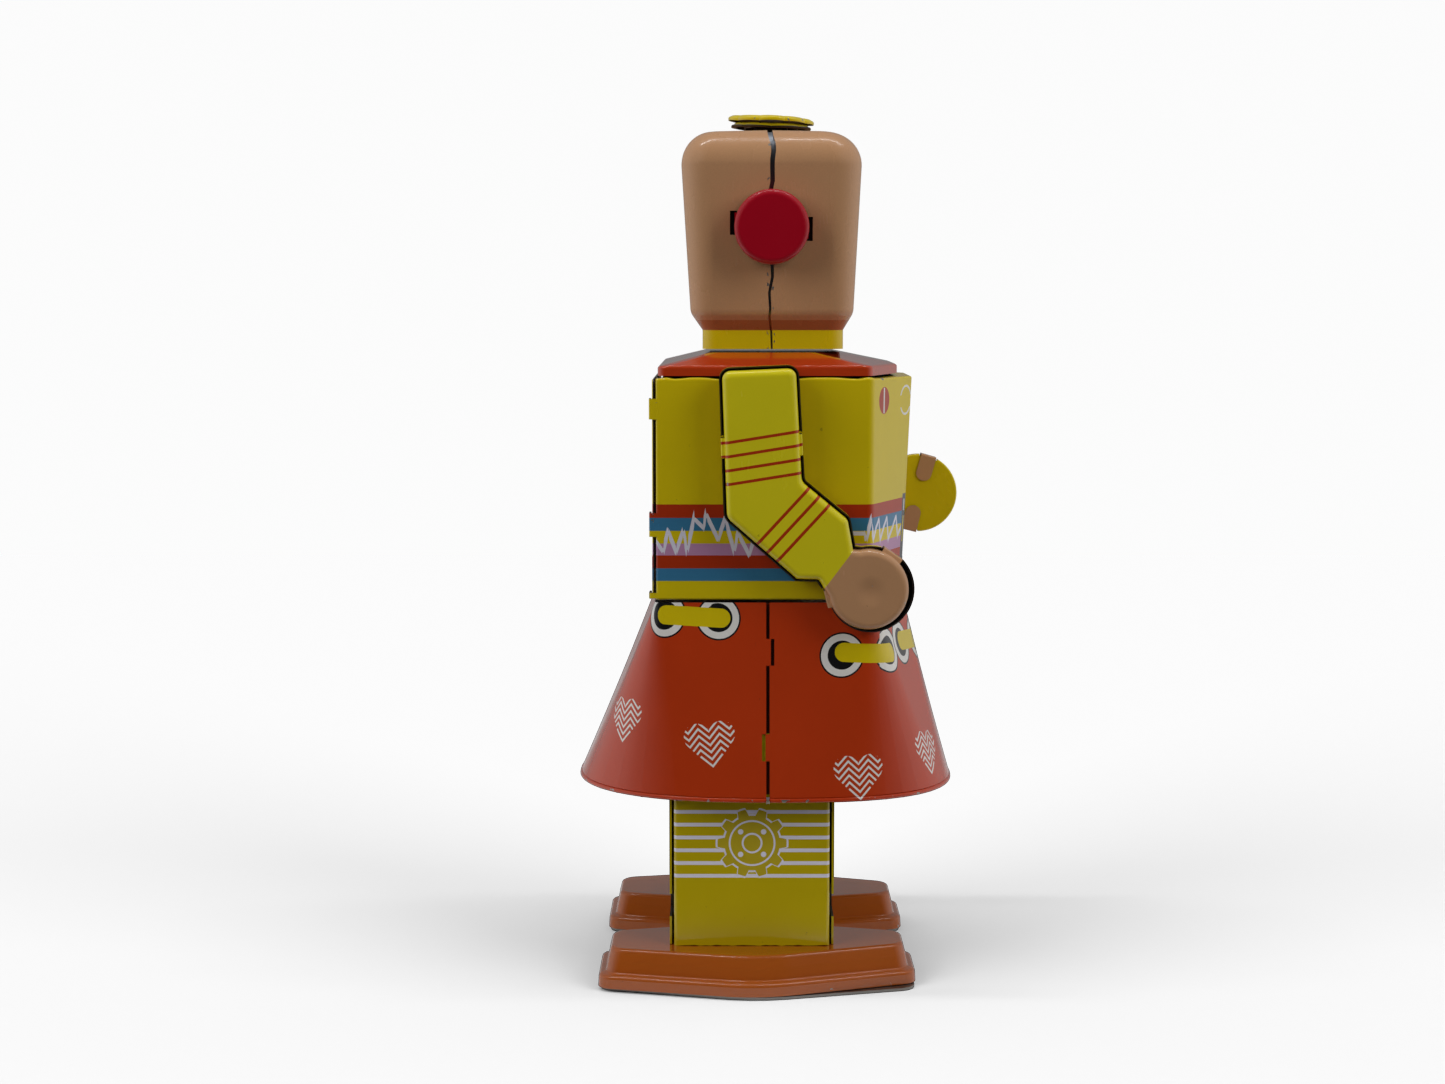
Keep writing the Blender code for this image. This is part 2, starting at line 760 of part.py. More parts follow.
def leg(side, sign):
    pivot = (0.0, *GUIDE_AXIS)
    outer = place(
        f"{side}_leg_outer_channel",
        channel(LEG_OUTER_X, LEG_INNER_X + 1.2, LEG_FRONT_Y, LEG_REAR_Y, sign),
        yellow_tin(), pivot, SHEET,
    )
    margin = SHEET + GAP + 0.1
    inner = place(
        f"{side}_leg_inner_channel",
        channel(LEG_INNER_X, LEG_OUTER_X - 1.0, LEG_FRONT_Y - margin, LEG_REAR_Y + margin, sign),
        yellow_tin(), pivot, SHEET,
    )
    guide_hole = 1.5 + RUNNING
    for obj, x in ((outer, LEG_OUTER_X), (inner, LEG_INNER_X)):
        ends = sorted((sign * (x - 2.0), sign * (x + 2.0)))
        bore = moved(shaft([(ends[0], guide_hole), (ends[1], guide_hole)], CIRCLE_STEPS), GUIDE_AXIS)
        cut(obj, f"{obj.name}_guide_bore", bore)
    slot_half_width, slot_half_length = 1.1, 2.6
    ends = sorted((sign * (LEG_INNER_X - 2.0), sign * (LEG_INNER_X + 2.0)))
    slot = box(
        (ends[0], CRANK_AXIS[0] - slot_half_width, CRANK_AXIS[1] - slot_half_length),
        (ends[1], CRANK_AXIS[0] + slot_half_width, CRANK_AXIS[1] + slot_half_length),
    )
    cut(inner, f"{side}_crank_slot", slot)
    ends = sorted((sign * (LEG_INNER_X + 1.0), sign * (LEG_OUTER_X + 1.0)))
    for label, low_y, high_y in (
        ("front", LEG_FRONT_Y - 2.0, LEG_FRONT_Y - GAP),
        ("rear", LEG_REAR_Y + GAP, LEG_REAR_Y + 2.0),
    ):
        notch = box((ends[0], low_y, ANKLE_NOTCH_Z[0]), (ends[1], high_y, ANKLE_NOTCH_Z[1]))
        cut(inner, f"{side}_{label}_ankle_notch", notch)


def boat(inset, corner=3.0):
    """A shoe's plan about its own centre: straight ends and sides that swell to the middle."""
    length = SHOE_HALF_LENGTH - inset
    end = SHOE_HALF_END - inset
    middle = SHOE_HALF_MIDDLE - inset * 1.6
    corners = [
        (end, length, corner),
        (-end, length, corner),
        (-middle, 0, 22.0),
        (-end, -length, corner),
        (end, -length, corner),
        (middle, 0, 22.0),
    ]
    return rounded(corners, steps=3)


def shoe(side, sign):
    pivot = (0.0, *GUIDE_AXIS)
    centre = (sign * SHOE_X, SHOE_Y)

    def ring(inset, z):
        return [(u + centre[0], v + centre[1], z) for u, v in boat(inset)]

    rings = [
        ring(0.0, SOLE_THICKNESS + GAP),
        ring(0.0, 2.4),
        ring(0.7, 3.0),
        ring(1.2, 3.1),
        ring(1.6, 6.6),
        ring(2.3, DECK_Z),
    ]
    place(f"{side}_shoe_upper", loft(rings, caps=(False, True)), brown_tin(), pivot, SHEET)
    sole = loft([ring(0.35, 0.0), ring(0.35, SOLE_THICKNESS)], caps=(True, True))
    place(f"{side}_sole_plate", sole, bare_tin(), pivot)


# ---------------------------------------------------------------- clockwork

def apart(axis, distance, angle):
    return (axis[0] + distance * math.cos(angle), axis[1] + distance * math.sin(angle))


def wheel_distance(teeth):
    return (teeth + PINION_TEETH) * MODULE / 2


def second_axis():
    """The second arbor's axis, where both meshes have their right centre distance."""
    start, end = Vector(WINDING_AXIS), Vector(CRANK_AXIS)
    first, last = wheel_distance(GREAT_TEETH), wheel_distance(SECOND_TEETH)
    span = (end - start).length
    along = (first ** 2 - last ** 2 + span ** 2) / (2 * span)
    off = math.sqrt(first ** 2 - along ** 2)
    way = (end - start).normalized()
    return tuple(start + way * along + Vector((way.y, -way.x)) * off)


def heading(start, end):
    return math.atan2(end[1] - start[1], end[0] - start[0])


def meshed_phase(wheel_axis, wheel_teeth, wheel_phase, pinion_axis, pinion_teeth):
    """The phase that puts a gap of the pinion round the wheel's tooth."""
    angle = heading(wheel_axis, pinion_axis)
    tooth_share = (angle - wheel_phase) * wheel_teeth / (2 * math.pi)
    return angle + math.pi - (0.5 - tooth_share) * 2 * math.pi / pinion_teeth


def toothed_wheel(name, teeth, phase, axis, x_low, x_high, bore, shade):
    outline = teeth_ring(teeth, phase)
    bm = moved(sheet_across_x([outline, circle(bore, steps=10)], x_low, x_high), axis)
    place(name, bm, shade, origin=side_point(axis), smooth=False)


def pinion_arbor(name, phase, axis, x_ends, pinion_x, radius, shade):
    """A plain arbor with a pinion cut in its length."""
    outline = teeth_ring(PINION_TEETH, phase)
    plain = round_ring(radius, outline)
    rings = [
        across(plain, x_ends[0]),
        across(plain, pinion_x[0]),
        across(outline, pinion_x[0]),
        across(outline, pinion_x[1]),
        across(plain, pinion_x[1]),
        across(plain, x_ends[1]),
    ]
    bm = moved(closed_solid(loft(rings, caps=(True, True))), axis)
    place(name, bm, shade, origin=side_point(axis), smooth=False)


def winding_works():
    """Arbor, ratchet wheel and key, which turn together when the spring is wound."""
    origin = side_point(WINDING_AXIS)
    stages = [(-11.0, WINDING_ARBOR_RADIUS), (28.6, WINDING_ARBOR_RADIUS)]
    place("winding_arbor", moved(shaft(stages), WINDING_AXIS), steel(), origin)
    teeth = ratchet_ring(RATCHET_TEETH, RATCHET_ROOT_RADIUS, RATCHET_TIP_RADIUS)
    bore = circle(WINDING_ARBOR_RADIUS + GAP, steps=10)
    ratchet = moved(sheet_across_x([teeth, bore], -2.5, -1.8), WINDING_AXIS)
    place("ratchet_wheel", ratchet, steel(), origin, smooth=False)
    winding_key(origin)


def key_blade():
    """The two wings, drawn flat as (y, x) and turned to stand across the shank."""
    root, shoulder, reach_out = 1.5, KEY_SHANK_X[1] - 1.2, KEY_WING_RADIUS
    waist = KEY_OUTER_X - 1.6
    outline = rounded([
        (-reach_out, shoulder, 1.6),
        (-root, shoulder + 0.6, 0),
        (root, shoulder + 0.6, 0),
        (reach_out, shoulder, 1.6),
        (reach_out - 0.4, KEY_OUTER_X, 1.8),
        (1.2, waist, 0),
        (-1.2, waist, 0),
        (-reach_out + 0.4, KEY_OUTER_X, 1.8),
    ])
    blade = sheet_across_x([outline], -KEY_WING_HALF_THICKNESS, KEY_WING_HALF_THICKNESS)
    for vertex in blade.verts:
        thickness, spread, outward = vertex.co
        vertex.co = (outward, thickness, spread)
    return closed_solid(blade)


def winding_key(origin):
    """A tube shank that slips on the arbor, with two flat wings across its end."""
    bore = WINDING_ARBOR_RADIUS + GAP
    low, high = KEY_SHANK_X
    stages = [(KEY_BORE_END_X, bore), (low, bore), (low, KEY_SHANK_RADIUS), (high, KEY_SHANK_RADIUS)]
    rings = [across(circle(radius, steps=12), x) for x, radius in stages]
    shank = moved(closed_solid(loft(rings, caps=(True, True))), WINDING_AXIS)
    key = place("winding_key", shank, steel(), origin)
    cut(key, "winding_key_wings", moved(key_blade(), WINDING_AXIS), "UNION")


def mainspring():
    """A flat coil, its inner end clear of the arbor."""
    steps_a_turn = 14
    inner, outer = SPRING_RADII
    x_low, x_high = SPRING_X
    count = SPRING_TURNS * steps_a_turn
    rings = []
    for i in range(count + 1):
        angle = 2 * math.pi * i / steps_a_turn
        radius = inner + (outer - inner) * i / count
        way = Vector((math.cos(angle), math.sin(angle)))
        low = Vector(WINDING_AXIS) + way * radius
        high = Vector(WINDING_AXIS) + way * (radius + SPRING_THICKNESS)
        rings.append([(x_low, *low), (x_high, *low), (x_high, *high), (x_low, *high)])
    bm = closed_solid(loft(rings, caps=(True, True)))
    place("mainspring", bm, steel(), origin=side_point(WINDING_AXIS), smooth=False)


def escape_axis():
    return apart(CRANK_AXIS, wheel_distance(CRANK_WHEEL_TEETH), math.radians(ESCAPE_DIRECTION_DEG))


def governor_axis():
    escape = escape_axis()
    return (escape[0], escape[1] + GOVERNOR_ABOVE_ESCAPE)


def wheel_train():
    """Great wheel, second arbor, crank shaft and escape arbor, all in mesh."""
    second, escape = second_axis(), escape_axis()
    ends = (-ARBOR_HALF_LENGTH, ARBOR_HALF_LENGTH)
    bore = WINDING_ARBOR_RADIUS + GAP
    toothed_wheel("great_wheel", GREAT_TEETH, 0.0, WINDING_AXIS, -1.2, -0.2, bore, brass())
    phase = meshed_phase(WINDING_AXIS, GREAT_TEETH, 0.0, second, PINION_TEETH)
    pinion_arbor("second_pinion", phase, second, ends, (-1.9, 0.6), SECOND_ARBOR_RADIUS, steel())
    bore = SECOND_ARBOR_RADIUS + GAP
    toothed_wheel("second_wheel", SECOND_TEETH, 0.0, second, 3.0, 3.8, bore, brass())
    phase = meshed_phase(second, SECOND_TEETH, 0.0, CRANK_AXIS, PINION_TEETH)
    pinion_arbor("crank_shaft", phase, CRANK_AXIS, (-11.9, 11.9), (2.2, 4.6), CRANK_SHAFT_RADIUS, steel())
    bore = CRANK_SHAFT_RADIUS + GAP
    toothed_wheel("crank_wheel", CRANK_WHEEL_TEETH, 0.0, CRANK_AXIS, 6.2, 7.0, bore, brass())
    phase = meshed_phase(CRANK_AXIS, CRANK_WHEEL_TEETH, 0.0, escape, PINION_TEETH)
    pinion_arbor("escape_arbor", phase, escape, ends, (5.4, 7.8), ESCAPE_ARBOR_RADIUS, steel())
    teeth = ratchet_ring(RATCHET_TEETH, RATCHET_ROOT_RADIUS, ESCAPE_TIP_RADIUS)
    loops = [teeth, circle(ESCAPE_ARBOR_RADIUS + GAP, steps=10)]
    bm = moved(sheet_across_x(loops, -2.0, -1.4), escape)
    place("escape_wheel", bm, brass(), origin=side_point(escape), smooth=False)


def click():
    """The pawl on the great wheel's face, held just clear of the ratchet teeth."""
    corners = [(4.3, -0.2, 0), (5.2, -1.0, 0), (7.4, 0.4, 0.3), (6.8, 2.2, 0.3), (4.5, 1.0, 0.2)]
    bm = moved(sheet_across_x([rounded(corners, steps=2)], -2.3, -1.5), WINDING_AXIS)
    place("click_pawl", bm, steel(), origin=side_point(WINDING_AXIS), smooth=False)


def governor():
    """The rocking weight that the escape wheel kicks from side to side, on its own arbor."""
    axis = governor_axis()
    corners = [
        (-1.2, -0.6, 0), (-3.4, -2.2, 0), (-3.0, -2.8, 0), (0.0, -1.6, 0), (3.0, -2.8, 0),
        (3.4, -2.2, 0), (1.2, -0.6, 0), (1.2, 2.4, 0.5), (3.6, 3.2, 0.6), (3.6, 5.6, 0.8),
        (-3.6, 5.6, 0.8), (-3.6, 3.2, 0.6), (-1.2, 2.4, 0.5),
    ]
    outline = rounded(corners, steps=2)
    hole = circle(GOVERNOR_ARBOR_RADIUS + GAP / 2, steps=10)
    bm = moved(sheet_across_x([outline, hole], -2.2, -1.2), axis)
    place("governor_weight", bm, brass(), origin=side_point(axis), smooth=False)
    stages = [(-ARBOR_HALF_LENGTH, GOVERNOR_ARBOR_RADIUS), (ARBOR_HALF_LENGTH, GOVERNOR_ARBOR_RADIUS)]
    place("governor_arbor", moved(shaft(stages, 10), axis), steel(), origin=side_point(axis))


def crank_disc(side, sign, lead_deg):
    """A disc on the crank shaft's end, with the pin that reaches towards the leg's slot."""
    origin = side_point(CRANK_AXIS)
    ring = circle(CRANK_DISC_RADIUS)
    hole = circle(CRANK_SHAFT_RADIUS + GAP)
    ends = sorted((sign * 10.6, sign * 11.6))
    plate = moved(sheet_across_x([ring, hole], *ends), CRANK_AXIS)
    disc = place(f"{side}_crank_disc", plate, steel(), origin)
    pin_ends = sorted((sign * 11.2, sign * (LEG_INNER_X - CRANK_PIN_CLEARANCE)))
    centre = apart(CRANK_AXIS, CRANK_THROW + 0.85, math.radians(lead_deg))
    pin = moved(shaft([(pin_ends[0], CRANK_PIN_RADIUS), (pin_ends[1], CRANK_PIN_RADIUS)], 10), centre)
    cut(disc, f"{side}_crank_pin", pin, "UNION")


def motor_plate(side, sign, pillars):
    """A flat side plate, pierced for every arbor."""
    ends = sorted((sign * MOTOR_PLATE_X, sign * (MOTOR_PLATE_X + MOTOR_PLATE_THICKNESS)))
    corners = [
        (-1.0, 37.5, 3.0), (10.2, 37.5, 3.0), (10.2, 50.0, 2.0), (17.0, 60.0, 2.0),
        (19.4, 70.0, 2.0), (19.4, 88.0, 3.0), (-9.2, 88.0, 3.0), (-9.2, 56.0, 3.0), (-1.0, 50.0, 2.0),
    ]
    holes = [
        circle(WINDING_ARBOR_RADIUS + RUNNING, WINDING_AXIS),
        circle(SECOND_ARBOR_RADIUS + RUNNING, second_axis(), 12),
        circle(CRANK_SHAFT_RADIUS + RUNNING, CRANK_AXIS),
        circle(ESCAPE_ARBOR_RADIUS + RUNNING, escape_axis(), 12),
        circle(GOVERNOR_ARBOR_RADIUS + RUNNING, governor_axis(), 12),
        circle(GUIDE_RADIUS + RUNNING, GUIDE_AXIS),
    ]
    holes += [circle(PILLAR_RIVET_RADIUS + RUNNING, pillar, 8) for pillar in pillars]
    bm = sheet_across_x([rounded(corners, steps=2)] + holes, *ends)
    place(f"motor_plate_{side}", bm, steel(), smooth=False)


def motor_pillar(name, axis):
    """A shouldered spacer whose thin ends are riveted through both plates."""
    shoulder = MOTOR_PLATE_X - GAP
    end = MOTOR_PLATE_X + MOTOR_PLATE_THICKNESS + 0.3
    stages = [
        (-end, PILLAR_RIVET_RADIUS),
        (-shoulder, PILLAR_RIVET_RADIUS),
        (-shoulder, PILLAR_RADIUS),
        (shoulder, PILLAR_RADIUS),
        (shoulder, PILLAR_RIVET_RADIUS),
        (end, PILLAR_RIVET_RADIUS),
    ]
    place(name, moved(shaft(stages, 8), axis), steel(), origin=side_point(axis))


def clockwork():
    winding_works()
    mainspring()
    wheel_train()
    click()
    governor()
    crank_disc("right", -1, 0.0)
    crank_disc("left", 1, 180.0)
    pillars = {
        "motor_pillar_upper_front": (-6.0, 85.0),
        "motor_pillar_upper_rear": (-6.0, 75.0),
        "motor_pillar_lower_rear": (14.6, 61.0),
        "motor_pillar_lower_front": (1.6, 46.5),
    }
    for side, sign in (("right", -1), ("left", 1)):
        motor_plate(side, sign, pillars.values())
    for name, axis in pillars.items():
        motor_pillar(name, axis)
    guide = moved(shaft([(-26.4, GUIDE_RADIUS), (26.4, GUIDE_RADIUS)], 12), GUIDE_AXIS)
    place("leg_guide_shaft", guide, steel(), origin=side_point(GUIDE_AXIS))


# ---------------------------------------------------------------- the robot

def robot():
    head_shell("head_front_shell", keeps_front=True)
    head_shell("head_rear_shell", keeps_front=False)
    ear_cap("right_ear_cap", -1)
    ear_cap("left_ear_cap", 1)
    flower()
    flower_stand()
    shoulder_cover()
    torso_wrap()
    torso_back()
    torso_floor()
    skirt_shell("skirt_front_shell", keeps_front=True)
    skirt_shell("skirt_rear_shell", keeps_front=False)
    for side, sign, raise_deg in (("right", -1, 0.0), ("left", 1, LEFT_ARM_RAISE_DEG)):
        arm(side, sign, raise_deg)
        shoulder_rivet(side, sign)
        shoulder_washer(side, sign)
        leg(side, sign)
        shoe(side, sign)
    clockwork()


clear_scene()
PARTS = new_collection("tin_robot")
CUTTERS = new_collection("cutters")
CUTTERS.hide_render = True
robot()
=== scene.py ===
"""Looks for the clockwork tin robot: fine pressed shells, printed lacquer, bare metal, stage and camera.

Lengths are in millimetres in the robot's frame (facing -Y, right side at -X, floor at Z = 0).
They become metres where a mesh or a light is made.
"""

import math

import bmesh
import bpy
from mathutils import Euler, Matrix, Vector


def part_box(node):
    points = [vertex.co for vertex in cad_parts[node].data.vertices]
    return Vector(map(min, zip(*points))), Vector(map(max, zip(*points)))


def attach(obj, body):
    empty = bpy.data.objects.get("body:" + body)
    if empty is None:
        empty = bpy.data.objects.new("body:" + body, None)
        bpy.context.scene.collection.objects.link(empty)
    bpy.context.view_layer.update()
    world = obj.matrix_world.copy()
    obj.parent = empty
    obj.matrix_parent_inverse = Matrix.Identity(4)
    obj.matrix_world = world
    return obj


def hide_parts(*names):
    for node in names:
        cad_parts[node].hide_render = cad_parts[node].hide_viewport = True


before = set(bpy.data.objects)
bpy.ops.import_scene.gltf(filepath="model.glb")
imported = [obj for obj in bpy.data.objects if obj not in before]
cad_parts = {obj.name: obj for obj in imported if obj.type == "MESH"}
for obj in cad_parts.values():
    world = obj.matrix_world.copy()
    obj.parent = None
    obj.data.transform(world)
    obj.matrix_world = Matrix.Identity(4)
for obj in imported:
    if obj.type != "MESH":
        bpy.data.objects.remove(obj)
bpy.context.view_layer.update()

MM = 0.001
TORSO = "torso_and_motor"


def span(*nodes):
    """The lowest and highest corners of one or more CAD nodes."""
    corners = [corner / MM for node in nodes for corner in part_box(node)]
    return Vector(map(min, zip(*corners))), Vector(map(max, zip(*corners)))


def axis_of(node):
    """The (y, z) of the line along X that a turned node is centred on."""
    low, high = span(node)
    return ((low.y + high.y) / 2, (low.z + high.z) / 2)


# Sizes read from the frame
HEAD = span("head_front_shell", "head_rear_shell")
SEAM_Y = (span("head_front_shell")[1].y + span("head_rear_shell")[0].y) / 2
EAR = span("left_ear_cap")
EAR_AXIS = axis_of("left_ear_cap")
FLOWER = span("flower_plate")
FLOWER_Y = (FLOWER[0].y + FLOWER[1].y) / 2
COVER = span("shoulder_cover")
WRAP = span("torso_wrap")
BACK = span("torso_back_panel")
SKIRT = span("skirt_front_shell", "skirt_rear_shell")
SKIRT_SEAM_Y = (span("skirt_front_shell")[1].y + span("skirt_rear_shell")[0].y) / 2
SHOULDER = axis_of("right_shoulder_rivet")
WINDING = axis_of("winding_arbor")
ARM_TRAY = span("left_arm_inner_tray")
ARM_SHELL = span("left_arm_outer_shell")
LEG_OUTER = span("left_leg_outer_channel")
LEG_INNER = span("left_leg_inner_channel")
SHOE = span("left_shoe_upper")
KEY = span("winding_key")

# Sizes that the boxes do not give
SHEET = 0.4
BEND_Y = -17.0
CHEST_HALF = 8.4
CHEST_LOW_Y = -23.4
CHEST_TOP_Y = -25.2
LEFT_ARM_RAISE = math.radians(27.1)
HAND_CENTRE = (-19.5, -33.7)
HAND_RADIUS = 7.2
TRAY_HAND_SHIFT = {"right": (-0.5, -0.15), "left": (0.0, 0.0)}
HAND_TABS = {"right": ((125.0, 3.9), (346.0, 3.2)), "left": ((133.0, 3.1), (311.0, 3.1))}
TRAY_MARGIN = 0.6
ANKLE_NOTCH_Z = (12.7, 16.9)
BACK_TAB_ENDS = ((104.0, 107.7), (82.8, 87.1), (71.6, 72.6))
REAR_TURN_Y = 12.0
PETAL_SHEET = 0.22
CORNER_STEPS = 7
CREASE_ANGLE = math.radians(38)

# Ink and metal, as linear colours
YELLOW = (0.74, 0.57, 0.004)
# Painted shade: the torso's yellow darkened for the legs, which stand in the skirt's shade
SHADED_LEG_YELLOW = (0.548, 0.422, 0.00296)
SLEEVE_YELLOW = (0.76, 0.66, 0.012)
SKIN = (0.56, 0.30, 0.15)
# Painted shade and reflection: the skin darkened and reddened for the underside of the jaw
PAINTED_JAW_SHADE = (0.448, 0.165, 0.06)
CRIMSON = (0.42, 0.002, 0.014)
ORANGE = (0.54, 0.045, 0.006)
BROWN = (0.395, 0.0874, 0.00912)
BAND_RED = (0.46, 0.036, 0.006)
BAND_BLUE = (0.045, 0.20, 0.37)
MAUVE = (0.55, 0.28, 0.48)
PALE = (0.80, 0.78, 0.90)
WHITE = (0.86, 0.84, 0.80)
BLACK = (0.010, 0.010, 0.011)
PANEL_GREY = (0.10, 0.10, 0.115)
OCHRE = (0.52, 0.40, 0.02)
DARK_METAL = (0.16, 0.15, 0.14)
CHIP_METAL = (0.42, 0.41, 0.39)
SPECK_INK = (0.05, 0.03, 0.01)
CREASE_INK = (0.25, 0.16, 0.01)


# ---------------- outlines

def circle(radius, centre=(0.0, 0.0), steps=48):
    turns = [2 * math.pi * i / steps for i in range(steps)]
    return [(centre[0] + radius * math.cos(a), centre[1] + radius * math.sin(a)) for a in turns]


def fillet(before, corner, after, radius, steps):
    """Points of the arc that rounds one corner of an outline."""
    corner = Vector(corner)
    to_before = (Vector(before) - corner).normalized()
    to_after = (Vector(after) - corner).normalized()
    half = to_before.angle(to_after) / 2
    along = radius / math.tan(half)
    centre = corner + (to_before + to_after).normalized() * (radius / math.sin(half))
    first = corner + to_before * along - centre
    last = corner + to_after * along - centre
    sweep = math.atan2(first.x * last.y - first.y * last.x, first.dot(last))
    return [tuple(centre + Matrix.Rotation(sweep * i / steps, 2) @ first) for i in range(steps + 1)]


def rounded(corners, steps=CORNER_STEPS, closed=True):
    """An outline from (u, v, corner radius) corners. An open outline keeps its two ends."""
    points = []
    for i, (u, v, radius) in enumerate(corners):
        at_end = not closed and i in (0, len(corners) - 1)
        if radius <= 0 or at_end:
            points.append((u, v))
        else:
            after = corners[(i + 1) % len(corners)][:2]
            points += fillet(corners[i - 1][:2], (u, v), after, radius, steps)
    return points


def dense(path, step, like=None):
    """An open path with points added until no stretch, of it or of a path like it, is over a step long."""
    measured = like or path
    points = []
    for i, (start, end) in enumerate(zip(path, path[1:])):
        parts = max(1, math.ceil((Vector(measured[i + 1]) - Vector(measured[i])).length / step))
        points += [tuple(Vector(start).lerp(Vector(end), part / parts)) for part in range(parts)]
    return points + [path[-1]]


def grown(outline, distance):
    """A closed counter-clockwise outline moved outwards by a distance."""
    moved = []
    for i, point in enumerate(outline):
        here = Vector(point)
        back = (here - Vector(outline[i - 1])).normalized()
        on = (Vector(outline[(i + 1) % len(outline)]) - here).normalized()
        normal = Vector((back.y + on.y, -back.x - on.x)).normalized()
        stretch = max(0.5, normal.dot(Vector((on.y, -on.x))))
        moved.append(tuple(here + normal * (distance / stretch)))
    return moved


def reach(outline, centre, angle):
    """The point of a closed outline that lies in one direction from a centre inside it."""
    way = Vector((math.cos(angle), math.sin(angle)))
    middle = Vector(centre)
    for i, point in enumerate(outline):
        start = Vector(outline[i - 1]) - middle
        side = Vector(point) - Vector(outline[i - 1])
        cross = way.x * side.y - way.y * side.x
        if abs(cross) < 1e-9:
            continue
        distance = (start.x * side.y - start.y * side.x) / cross
        share = (start.x * way.y - start.y * way.x) / cross
        if distance > 0 and -1e-9 <= share <= 1 + 1e-9:
            return middle + way * distance
    raise ValueError("the outline does not surround its centre")


def level(outline, z):
    return [(u, v, z) for u, v in outline]


def across(outline, x):
    return [(x, u, v) for u, v in outline]


def about(middle, half):
    return middle - half, middle + half


# ---------------- meshes and pieces

def loft(rings, closed_rings=True, caps=(False, False)):
    """Skins a list of rings of 3-D points that all have the same count."""
    bm = bmesh.new()
    rows = [[bm.verts.new(point) for point in ring] for ring in rings]
    count = len(rows[0])
    for low, high in zip(rows, rows[1:]):
        for i in range(count if closed_rings else count - 1):
            j = (i + 1) % count
            bm.faces.new((low[i], low[j], high[j], high[i]))
    if caps[0]:
        bm.faces.new(reversed(rows[0]))
    if caps[1]:
        bm.faces.new(rows[-1])
    return bm


def flipped(bm):
    bmesh.ops.reverse_faces(bm, faces=bm.faces)
    return bm


def faced_out(bm):
    bmesh.ops.recalc_face_normals(bm, faces=bm.faces)
    return bm


def mirrored(bm):
    bmesh.ops.scale(bm, vec=(-1, 1, 1), verts=bm.verts)
    return flipped(bm)


def on_side(sign, meshes):
    """Meshes made for the left side (sign 1), turned round in place where the sign is -1."""
    if sign < 0:
        for bm in meshes:
            mirrored(bm)


def box(xs, ys, zs):
    """A box from the two ends of each side, in either order."""
    low, high = (Vector(corner) for corner in zip(*map(sorted, (xs, ys, zs))))
    bm = bmesh.new()
    bmesh.ops.create_cube(bm, size=1.0)
    bmesh.ops.scale(bm, vec=high - low, verts=bm.verts)
    bmesh.ops.translate(bm, vec=(high + low) / 2, verts=bm.verts)
    return bm


def open_loft(rings):
    return loft(rings, closed_rings=False)


def turned(stages, steps=48, centre=(0.0, 0.0), caps=(True, True)):
    """A round body along X from (x, radius) stages, given outwards along +X."""
    return loft([across(circle(r, centre, steps), x) for x, r in stages], caps=caps)


def joined(parts):
    """Several meshes as one."""
    whole = bmesh.new()
    for part in parts:
        mesh = bpy.data.meshes.new("part")
        part.to_mesh(mesh)
        part.free()
        whole.from_mesh(mesh)
        bpy.data.meshes.remove(mesh)
    return whole


def linked(name, bm):
    bmesh.ops.scale(bm, vec=(MM, MM, MM), verts=bm.verts)
    mesh = bpy.data.meshes.new(name)
    bm.to_mesh(mesh)
    bm.free()
    obj = bpy.data.objects.new(name, mesh)
    bpy.context.scene.collection.objects.link(obj)
    return obj


def apply_modifiers(obj):
    graph = bpy.context.evaluated_depsgraph_get()
    mesh = bpy.data.meshes.new_from_object(obj.evaluated_get(graph))
    obj.modifiers.clear()
    obj.data = mesh


def piece(name, bm, body, finishes, slot, stands_for=(), sheet=0.0, cutters=(), pivot=None, raised=0.0):
    """One visible piece. Finishes are for the outside, the cut edges and the inside of the sheet."""
    obj = linked(name, bm)
    for finish in finishes:
        obj.data.materials.append(finish)
    if sheet:
        solid = obj.modifiers.new("sheet", "SOLIDIFY")
        solid.thickness = sheet * MM
        solid.offset = -1.0
        solid.use_quality_normals = True
        solid.material_offset_rim = 1
        solid.material_offset = 2
    tools = []
    for i, cutter in enumerate(cutters):
        tool = linked(f"{name}_cutter_{i}", cutter)
        tool.data.materials.append(finishes[0])
        tool.data.materials.append(finishes[-1])
        for face in tool.data.polygons:
            face.material_index = 1
        step = obj.modifiers.new(tool.name, "BOOLEAN")
        step.object = tool
        step.solver = "EXACT"
        tools.append(tool)
    apply_modifiers(obj)
    for tool in tools:
        bpy.data.objects.remove(tool, do_unlink=True)
    obj.data.shade_smooth()
    obj.data.set_sharp_from_angle(angle=CREASE_ANGLE)
    flat = obj.modifiers.new("flat faces stay flat", "WEIGHTED_NORMAL")
    flat.keep_sharp = True
    if pivot:
        obj.location = Vector(pivot) * MM
        obj.rotation_euler.x = -raised
    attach(obj, body)
    if stands_for:
        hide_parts(*stands_for)
    return obj


# ---------------- shader arithmetic

